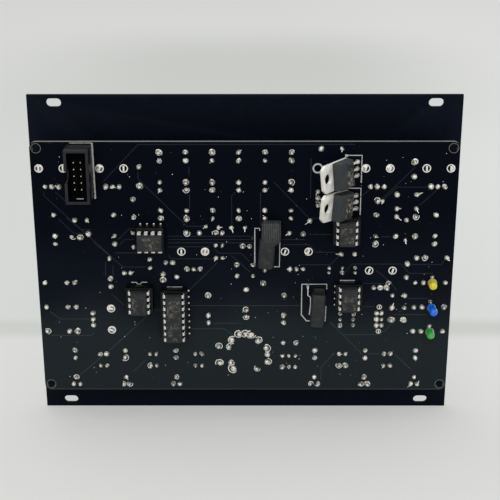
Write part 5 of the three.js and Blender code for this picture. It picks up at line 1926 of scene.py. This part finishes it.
@dataclass
class Optocouplers:
    """Two light-coupled resistors under shrunk sleeves, lying on the board."""

    head: Sleeve = Sleeve(Spot(9.8, 16.35), 7.3, 7.9, Finish.RIDGED)
    cuff: Sleeve = Sleeve(Spot(9.2, 12.3), 6.4, 1.6)
    tail: Sleeve = Sleeve(Spot(8.1, 7.9, math.radians(4)), 6.0, 11.4)
    lower: Sleeve = Sleeve(Spot(27.7, -14.8, math.radians(2.5)), 5.4, 13.2)
    # Place of the dark block of painted shade at the lower sleeve's open end.
    core: Spot = Spot(28.2, -7.8)
    shade_block_width: float = 5.2
    shade_block_length: float = 4.4
    shade_block_round: float = 1.2
    lead: float = 0.46
    lead_at: float = 7.5
    lead_out: float = 2.2
    long_lead: Route = ((23.9, -6.5), (23.9, -9.6), (24.9, -10.4), (25.0, -13.0), (24.6, -17.6))
    long_lead_rise: float = 1.3

    def short_lead(self) -> list[Form]:
        """Models the lead that leaves the tail and goes down into the board."""
        half, x = self.lead / 2, self.lead_at
        z = self.tail.spot.z - self.tail.length / 2 - self.lead_out
        rear, front = self.tail.far - 0.7 - half, self.tail.far - 0.7 + half
        flat = Form.block(self.lead, self.lead_out + 0.3, rear, front, x, z + self.lead_out / 2)
        drop = Form.block(self.lead, self.lead, rear, BOARD_REAR, x, z)
        seat = heap([(0.8, -0.05), (0.7, 0.2), (0.32, 0.5)], 10, x, z).coated(Finish.SOLDER)
        metal = [part.rounded(0.12).coated(Finish.TIN) for part in (flat, drop)]
        return [part.placed() for part in (*metal, seat)]

    def side_lead(self) -> list[Form]:
        """Models the lead that runs down beside the lower sleeve."""
        wire = Form.wires([self.long_lead], self.lead, BOARD_REAR - self.long_lead_rise, 1)
        joint = heap([(0.6, 0), (0.5, 1.0), (0.3, 1.6)], 9, *self.long_lead[0])
        return [part.coated(Finish.TIN).placed() for part in (wire, joint)]

    def build(self) -> None:
        """Builds both on their places."""
        sleeves = [sleeve.model() for sleeve in (self.head, self.cuff, self.tail)]
        upper = Form.joined([*sleeves, *self.short_lead()])
        upper.done("optocoupler_1_sleeve", "sleeve", ["optocoupler_1"])
        # Painted shade: a dark block at the lower sleeve's upper end stands for the shaded inside of its
        # open end.
        depth = (self.lower.near + 1.0, self.lower.far - 0.3)
        core = Form.block(self.shade_block_width, self.shade_block_length, *depth).rounded(self.shade_block_round, 5)
        core.coated(Finish.DARK).placed(self.core)
        lower = Form.joined([self.lower.model(), core, *self.side_lead()])
        lower.done("optocoupler_2_sleeve", "sleeve", ["optocoupler_2"])


@dataclass(frozen=True)
class RearLamp:
    """One lamp of the rear: its colour and how many degrees it leans aside and down."""

    colour: str
    finish: Finish
    aside: float
    down: float


@dataclass
class Lamps:
    """The three coloured rear lamps and the six lamps of the front."""

    radius: float = 1.6
    flange: float = 1.74
    flange_depth: float = 0.7
    length: float = 5.3
    rear_seat: float = -13.0
    front_tip: float = 2.8
    lead: float = 0.5
    lead_half: float = 1.27
    dome: Numbers = (20, 40, 60, 76, 88)
    highlight_way: Vector = field(default_factory=lambda: Vector((0.84, 0, 0.54)))
    highlight_from: float = 0.92
    rears: tuple[RearLamp, ...] = (
        RearLamp("yellow", Finish.YELLOW, -5, -3),
        RearLamp("blue", Finish.BLUE, 7, 8),
        RearLamp("green", Finish.GREEN, -3, 0),
    )

    def tilted(self, lamp: RearLamp) -> Matrix:
        """Returns the turn of a rear lamp that leans on its leads."""
        hub = shift(0, self.rear_seat)
        lean = spin(math.radians(lamp.aside), "Z") @ spin(math.radians(lamp.down), "X")
        return hub @ lean @ hub.inverted()

    def lens(self, seat: float, way: int) -> Form:
        """Models a lens with its flange and dome.

        Args:
            seat: Where its flange starts along Y.
            way: -1 where it points to the rear, 1 to the front.

        Returns:
            The lens.
        """
        dome_from = self.length - self.radius
        arc = [math.radians(step) for step in self.dome]
        outline = [
            (self.flange - 0.08, 0), (self.flange, 0.1), (self.flange, self.flange_depth - 0.1),
            (self.flange - 0.12, self.flange_depth), (self.radius + 0.04, self.flange_depth + 0.02),
            (self.radius, self.flange_depth + 0.2), (self.radius, dome_from),
            *((self.radius * math.cos(a), dome_from + self.radius * math.sin(a)) for a in arc),
        ]
        return Form.turned([(radius, seat + way * depth) for radius, depth in outline])

    def anvil(self, seat: float, way: int) -> list[Form]:
        """Models the small cup and post inside the lens."""
        cup = Form.block(0.8, 0.9, *sorted((seat + way * 0.4, seat + way * 2.4)), 0, -0.35)
        post = Form.block(0.5, 0.5, *sorted((seat + way * 0.4, seat + way * 2.6)), 0, 0.55)
        return [part.rounded(0.1).coated(Finish.TIN) for part in (cup, post)]

    def leads(self, near: float, far: float, step: Span) -> list[Form]:
        """Models the two leads, each a step from the lamp's middle along X and Z."""
        x, z = step
        leads = [Form.block(self.lead, self.lead, near, far, way * x, way * z) for way in (-1, 1)]
        return [lead.rounded(0.08, 1).coated(Finish.TIN) for lead in leads]

    def rear(self, lamp: RearLamp) -> None:
        """Builds one lamp of the rear on its place."""
        node = f"lamp_{lamp.colour}"
        lens = self.lens(self.rear_seat, -1).coated(lamp.finish)
        # Painted highlight: faces turned to the right and a little up, and those facing straight down, get
        # pale resin.
        lens.coated(Finish.LENS_HIGHLIGHT, lambda _, n: n.dot(self.highlight_way) > self.highlight_from or n.z < -0.97)
        whole = Form.joined([lens, *self.anvil(self.rear_seat, -1)]).moved(self.tilted(lamp))
        leads = self.leads(self.rear_seat, BOARD_REAR, (0, self.lead_half))
        whole = Form.joined([whole, *leads]).placed(LAYOUT.rear_lamps()[node])
        whole.done(f"{node}_lens", f"lens_{lamp.colour}", [node])

    def build(self) -> None:
        """Builds the lamps on their places."""
        for lamp in self.rears:
            self.rear(lamp)
        seat = self.front_tip - self.length
        lens = self.lens(seat, 1).coated(Finish.CLEAR)
        leads = self.leads(BOARD_FRONT, seat + 0.2, (self.lead_half, 0))
        front = Form.joined([lens, *self.anvil(seat, 1), *leads])
        lamps = Form.joined(front.repeated(LAYOUT.front_lamps()))
        lamps.done("front_lamps", "board", ["circuit_board"])


# Controls of the front


@dataclass
class Jacks:
    """Jacks for 3.5 mm plugs: housing, bush and round nut."""

    width: float = 9.0
    tip_side: float = 4.5
    sleeve_side: float = 6.0
    near: float = -11.0
    far: float = -1.0
    floor: float = -10.1
    collar: float = 3.9
    bush: float = 3.0
    bore: float = 1.85
    flare: float = 0.5
    mouth: float = 3.5
    nut: float = 4.0
    nut_near: float = 1.7
    nut_sides: int = 40

    def housing(self) -> list[Form]:
        """Models the moulded housing and its collar."""
        length = self.tip_side + self.sleeve_side
        middle = (self.sleeve_side - self.tip_side) / 2
        block = Form.block(self.width, length, self.near, self.far, 0, middle)
        block.edged(lengthwise, 0.5, 2)
        block.pressed(lambda _, n: abs(n.x) > FACING, 1.1, -0.25, True).rounded(0.15, 2, 40)
        outline = [(self.collar, self.far - 0.2), (self.collar, -0.35), (self.collar - 0.3, -0.15)]
        collar = Form.turned(outline, 32)
        block.cut(Form.rod(self.bore, self.floor, 5, 24))
        collar.cut(Form.rod(self.bore, -5, 5, 24))
        return [part.coated(Finish.HOUSING) for part in (block, collar)]

    def threaded(self) -> Form:
        """Models the bush with its flared mouth."""
        outline = [
            (self.bush, self.far - 0.1), (self.bush, self.mouth - 0.25),
            (self.bush - 0.3, self.mouth),
        ]
        throat = [(self.bore, -5), (self.bore, self.mouth - 0.3), (self.bore + self.flare, 5)]
        bush = Form.turned(outline, 32)
        return bush.cut(Form.turned(throat)).coated(Finish.THREAD)

    def ring(self) -> Form:
        """Models the round nut with its grooves."""

        def grooved(middle: Vector, normal: Vector) -> bool:
            """Says whether a face becomes a groove."""
            return abs(normal.y) < 0.1 and every_second(middle, self.nut_sides)

        nut = Form.rod(self.nut, self.nut_near, self.mouth - 0.05, self.nut_sides)
        nut.pressed(grooved, 0.05, -0.16, True)
        nut.cut(Form.rod(self.bush - 0.05, 0, 9, 32))
        return nut.rounded(0.06, 1, 50).coated(Finish.NICKEL)

    def build(self) -> None:
        """Copies the jack to all of its places."""
        jack = Form.joined([*self.housing(), self.threaded(), self.ring()])
        for node, spot in LAYOUT.jacks().items():
            jack.copied(spot.matrix()).done(f"{node}_shell", "jack", [node])
        others = Form.joined(jack.repeated(LAYOUT.board_jacks()))
        others.done("board_jacks", "jack", ["circuit_board"])


@dataclass
class Pots:
    """Potentiometers between board and panel, with bush and nut."""

    width: float = 9.5
    pin_side: float = 6.3
    far_side: float = 4.8
    height: float = 6.8
    wafer: float = 1.4
    crown: float = 4.3
    crown_top: float = -0.8
    tongue_width: float = 2.0
    tongue_thick: float = 0.5
    tongue_gap: float = 2.2
    bush: Bush = Bush(3.6, 5.0, 2.64, 0.9, 5.0)

    def zinc(self, top: float) -> list[Form]:
        """Models the can, its crown and its two tongues, with the can's top along Y."""
        can = Form.block(self.width, self.width, BOARD_FRONT + self.wafer - 0.2, top)
        can.edged(lengthwise, 1.2, 3).rounded(0.35, 3, 40)
        outline = [
            (self.crown, top - 0.2), (self.crown, self.crown_top - 0.3),
            (self.crown - 0.3, self.crown_top),
        ]
        size = (self.tongue_width, self.tongue_thick, BOARD_FRONT, top - self.tongue_gap)
        tongue = Form.block(*size).rounded(0.1, 1)
        sides = [shift(side * self.width / 2) @ spin(QUARTER) for side in (-1, 1)]
        parts = [can, Form.turned(outline, 32), *tongue.repeated(sides)]
        return [part.coated(Finish.CAN) for part in parts]

    def build(self) -> None:
        """Models one potentiometer and copies it to all of its places."""
        length = self.pin_side + self.far_side
        middle = (self.far_side - self.pin_side) / 2
        depth = (BOARD_FRONT, BOARD_FRONT + self.wafer)
        wafer = Form.block(self.width - 0.3, length, *depth, 0, middle)
        wafer.rounded(0.1, 1).coated(Finish.WAFER)
        zinc = self.zinc(BOARD_FRONT + self.height)
        pot = Form.joined([wafer, *zinc, self.bush.model(self.crown_top)])
        Form.joined(pot.repeated(LAYOUT.pots())).done("pots", "nickel", ["circuit_board"])


@dataclass(frozen=True)
class Knob:
    """A fluted knob on its shaft, with a painted pointer."""

    radius: float = 6.0
    top_radius: float = 5.0
    height: float = 13.0
    flutes: int = 18
    pointer: float = 1.0
    base: float = 5.6
    skirt: float = 2.0
    shaft: float = 2.5
    shaft_end: float = 1.0

    def model(self) -> Form:
        """Models the knob."""
        top = self.base + self.height
        step = self.base + self.skirt
        outline = [
            (self.radius - 0.15, self.base), (self.radius, self.base + 0.2),
            (self.radius, step - 0.3), (self.radius - 0.25, step), (self.radius - 0.5, step + 0.3),
            (self.top_radius, top - 0.9), (self.top_radius - 0.2, top - 0.35),
            (self.top_radius - 0.6, top - 0.02), (self.top_radius - 1.1, top), (0.3, top - 0.03),
        ]
        sides = 2 * self.flutes

        def fluted(middle: Vector, normal: Vector) -> bool:
            """Says whether a face becomes a flute."""
            upright = step + 0.4 < middle.y < top - 1 and abs(normal.y) < 0.5
            return upright and every_second(middle, sides)

        body = Form.turned(outline, sides).pressed(fluted, 0.1, -0.3, True)
        body.rounded(0.07, 1, 40).coated(Finish.KNOB)
        shaft = Form.rod(self.shaft, self.shaft_end, self.base + 0.4, 24)
        reach = self.top_radius - 1.0
        mark = Form.block(self.pointer, reach, top - 0.5, top, 0, self.top_radius / 2 + 0.4)
        mark.rounded(0.06, 1).coated(Finish.POINTER)
        return Form.joined([body, shaft.coated(Finish.CAN), mark])


@dataclass
class Knobs:
    """The eight knobs and the larger one of the rotary switch."""

    small: Knob = Knob()
    large: Knob = Knob(9.0, 7.8, 15.0, 24, 1.2)

    def build(self) -> None:
        """Places each knob on its own body."""
        knob = self.small.model()
        for number, spot in enumerate(LAYOUT.pots(), 1):
            node = f"knob_{number}"
            made = knob.copied(Spot(spot.x, spot.z).matrix())
            made.done(f"{node}_cap", "knob", [node], node)
        knob.spent()
        made = self.large.model().placed(LAYOUT.rotary)
        made.done("rotary_knob_cap", "knob", ["rotary_knob"], "rotary_knob")


@dataclass
class RotarySwitch:
    """The round twelve-way switch behind the large knob."""

    radius: float = 10.5
    near: float = -11.0
    far: float = -1.0
    groove: float = 0.5
    bush: Bush = Bush(4.6, 5.0, 2.64, 0.9, 6.6, sides=36)

    def build(self) -> None:
        """Builds the switch on its place."""
        outline = [
            (self.radius - 0.3, self.near), (self.radius, self.near + 0.3),
            (self.radius, self.near + 3.6), (self.radius - self.groove, self.near + 3.8),
            (self.radius - self.groove, self.near + 4.4), (self.radius, self.near + 4.6),
            (self.radius, self.far - 1.2), (self.radius - 0.8, self.far - 0.4),
            (self.radius - 2.4, self.far),
        ]
        drum = Form.turned(outline, 48).coated(Finish.MOULDING)
        made = Form.joined([drum, self.bush.model(self.far)]).placed(LAYOUT.rotary)
        made.done("rotary_switch_drum", "moulding", ["rotary_switch"])


@dataclass
class PushButtons:
    """Push switches on the board and the caps that are pressed from the front."""

    side: float = 6.0
    height: float = 4.2
    well: float = 1.78
    well_depth: float = 2.4
    rivet_pitch: float = 4.2
    stem: float = 1.6
    cap: float = 2.5
    tip: float = 3.8
    cap_length: float = 6.4
    foot: float = -8.7

    def switch(self) -> Form:
        """Models a switch housing with its metal cover and rivets."""
        top = BOARD_FRONT + self.height
        base = Form.block(self.side, self.side, BOARD_FRONT, top - 0.3).rounded(0.2)
        cover = Form.block(self.side - 0.15, self.side - 0.15, top - 0.35, top).rounded(0.15)
        for part in (base, cover):
            part.cut(Form.rod(self.well, top - self.well_depth, top + OVERRUN, 24))
        outline = [(0.5, top - 0.1), (0.45, top + 0.08), (0.2, top + 0.12)]
        corners = grid(self.rivet_pitch, 2, self.rivet_pitch, 2)
        rivets = [Form.turned(outline, 12, x, z) for x, z in corners]
        metal = [part.coated(Finish.CAN) for part in (cover, *rivets)]
        return Form.joined([base.coated(Finish.MOULDING), *metal])

    def button(self) -> Form:
        """Models a cap on its stem."""
        collar = self.tip - self.cap_length
        outline = [
            (self.stem, self.foot), (self.stem, collar), (self.cap - 0.15, collar),
            (self.cap, collar + 0.2), (self.cap, self.tip - 0.5), (self.cap - 0.15, self.tip - 0.2),
            (self.cap - 0.45, self.tip - 0.02), (self.cap - 0.9, self.tip),
            (self.cap - 1.3, self.tip - 0.08), (0.3, self.tip - 0.12),
        ]
        return Form.turned(outline, 32).coated(Finish.KNOB)

    def build(self) -> None:
        """Places the switches and the caps."""
        spots = LAYOUT.buttons()
        switches = Form.joined(self.switch().repeated(spots))
        switches.done("push_switches", "moulding", ["circuit_board"])
        cap = self.button()
        names = [*(f"button_{i}" for i in range(1, len(spots))), "tact_button"]
        for node, spot in zip(names, spots):
            cap.copied(spot.matrix()).done(f"{node}_cap", "knob", [node], node)
        cap.spent()


@dataclass
class ToggleSwitch:
    """The toggle switch with its threaded bush, nut and lever."""

    width: float = 6.0
    length: float = 8.0
    near: float = -11.0
    far: float = -3.0
    bush: Bush = Bush(3.0, 4.6, 2.3, -0.4, 4.2, 3.3, bore_sides=24)
    pivot: float = 1.3
    lean: float = math.radians(12)
    lever: Route = (
        (0.5, -1.52), (1.15, -1.1), (1.55, -0.4), (1.55, 0.4), (1.15, 1.1), (0.9, 1.5), (0.95, 6.0),
        (1.25, 10.6), (1.3, 11.6), (1.1, 12.2), (0.6, 12.5),
    )

    def build(self) -> None:
        """Builds the switch and its lever."""
        case = Form.block(self.width, self.length, self.near, self.far - 0.6).rounded(0.25)
        plate = Form.block(self.width, self.length, self.far - 0.8, self.far).rounded(0.15)
        case.coated(Finish.MOULDING)
        plate.coated(Finish.NICKEL)
        made = Form.joined([case, plate, self.bush.model(self.far)]).placed(LAYOUT.toggle)
        made.done("toggle_switch_case", "nickel", ["toggle_switch"])
        lever = Form.turned(self.lever).coated(Finish.NICKEL).moved(spin(self.lean, "X"))
        lever.moved(LAYOUT.toggle.matrix(self.pivot))
        lever.done("toggle_bat", "nickel", ["toggle_lever"], "toggle_lever")


@dataclass
class SlideSwitch:
    """The small slide switch and its square lever."""

    width: float = 4.4
    length: float = 8.6
    height: float = 4.7
    skirt: float = 1.6
    lever: float = 1.8
    travel: float = 2.0
    clearance: float = 0.3
    well: float = 1.6
    foot: float = -7.7
    tip: float = 4.0

    def build(self) -> None:
        """Builds the switch and its lever."""
        top = BOARD_FRONT + self.height
        base = Form.block(self.width - 0.4, self.length, BOARD_FRONT, top - 0.4)
        cover = Form.block(self.width, self.length - 0.4, BOARD_FRONT + self.skirt, top)
        base.rounded(0.15, 1).coated(Finish.MOULDING)
        cover.rounded(0.25).coated(Finish.CAN)
        opening = self.lever + 2 * self.clearance
        for part in (base, cover):
            part.cut(Form.block(opening, opening + self.travel, top - self.well, top + OVERRUN))
        made = Form.joined([base, cover]).placed(LAYOUT.slide())
        made.done("slide_switch_case", "board", ["circuit_board"])
        lever = Form.block(self.lever, self.lever, self.foot, self.tip, 0, -self.travel / 2)
        lever.rounded(0.2).coated(Finish.KNOB).placed(LAYOUT.slide())
        lever.done("slide_lever_post", "knob", ["slide_lever"], "slide_lever")


# Scene


@dataclass(frozen=True)
class SoftBox:
    """A soft square lamp that looks at the module's middle: name, place, power and side."""

    name: str
    place: Point
    power: float
    side: float


@dataclass
class Studio:
    """Floor, light and camera."""

    floor_at: float = -125.5
    reach: float = 6.0
    camera_at: Point = (3.04, -405.75, 85.14)
    camera_way: Point = (-0.00275, 0.94303, -0.33269)
    roll: float = math.radians(-0.06)
    lens: float = 79.71
    sensor: float = 36
    clip: Span = (0.01, 50)
    aim: Point = (0, 0, -0.06)
    sky: float = 0.55
    backdrop: Colour = tone(222, 223, 221)
    boxes: tuple[SoftBox, ...] = (
        SoftBox("key_lamp", (-0.2, 0.15, 0.85), 4.0, 0.8),
        SoftBox("front_lamp", (-0.1, -0.95, 0.5), 3.2, 0.9),
        SoftBox("fill_lamp", (0.75, 0.1, 0.5), 1.2, 0.8),
    )

    def hang(self, data: bpy.types.ID, place: Vector, way: Vector) -> bpy.types.Object:
        """Puts a camera or a lamp on its place.

        Args:
            data: The camera or lamp.
            place: Its place, in metres.
            way: Where it looks.

        Returns:
            The object in the scene.
        """
        thing = bpy.data.objects.new(data.name, data)
        bpy.context.scene.collection.objects.link(thing)
        look = way.to_track_quat("-Z", "Y").to_matrix().to_4x4()
        thing.matrix_world = Matrix.Translation(place) @ look
        return thing

    def camera(self) -> None:
        """Sets the camera at the photograph's angle."""
        data = bpy.data.cameras.new("camera")
        data.lens = self.lens
        data.sensor_width = self.sensor
        data.clip_start, data.clip_end = self.clip
        thing = self.hang(data, Vector(self.camera_at) * MM, Vector(self.camera_way))
        thing.matrix_world = thing.matrix_world @ spin(self.roll, "Z")
        bpy.context.scene.camera = thing

    def lamp(self, box: SoftBox) -> None:
        """Hangs one soft square lamp."""
        data = bpy.data.lights.new(box.name, "AREA")
        data.energy = box.power
        data.size = box.side
        place = Vector(box.place)
        self.hang(data, place, Vector(self.aim) - place)

    def floor(self) -> None:
        """Lays the pale floor."""
        deselect()
        bpy.ops.mesh.primitive_plane_add(size=2 * self.reach, location=(0, 0, self.floor_at * MM))
        thing = bpy.context.object
        bpy.ops.object.transform_apply(location=True, rotation=True, scale=True)
        thing.name = "floor"
        thing.data.materials.append(FloorPaper().material())

    def sky_light(self) -> None:
        """Lights the scene evenly, with a pale backdrop wherever the camera or a gloss looks."""
        world = bpy.data.worlds.new("studio")
        world.use_nodes = True
        bpy.context.scene.world = world
        tree = world.node_tree
        rays = tree.nodes.new("ShaderNodeLightPath").outputs
        seen = rays["Is Camera Ray"]
        for name in ("Is Glossy Ray", "Is Transmission Ray"):
            either = tree.nodes.new("ShaderNodeMath")
            either.operation = "ADD"
            either.use_clamp = True
            tree.links.new(seen, either.inputs[0])
            tree.links.new(rays[name], either.inputs[1])
            seen = either.outputs[0]
        mix = tree.nodes.new("ShaderNodeMix")
        mix.data_type = "RGBA"
        tree.links.new(seen, mix.inputs[0])
        mix.inputs[6].default_value = (self.sky, self.sky, self.sky, 1)
        mix.inputs[7].default_value = self.backdrop
        tree.links.new(mix.outputs[2], tree.nodes["Background"].inputs["Color"])

    def build(self) -> None:
        """Sets the whole stage."""
        self.floor()
        self.sky_light()
        for box in self.boxes:
            self.lamp(box)
        self.camera()
        bpy.context.scene.view_settings.view_transform = "Standard"


def main() -> None:
    """Builds the dressed module and its studio."""
    logging.basicConfig(level=logging.INFO, format="%(name)s %(message)s")
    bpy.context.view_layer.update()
    for part in (
        FrontPanel(),
        CircuitBoard(),
        Soldering(),
        PowerHeader(),
        Chips(),
        Regulators(),
        Optocouplers(),
        Lamps(),
        Jacks(),
        Pots(),
        Knobs(),
        RotarySwitch(),
        PushButtons(),
        ToggleSwitch(),
        SlideSwitch(),
    ):
        part.build()
    Studio().build()


if __name__ == "__main__":
    main()
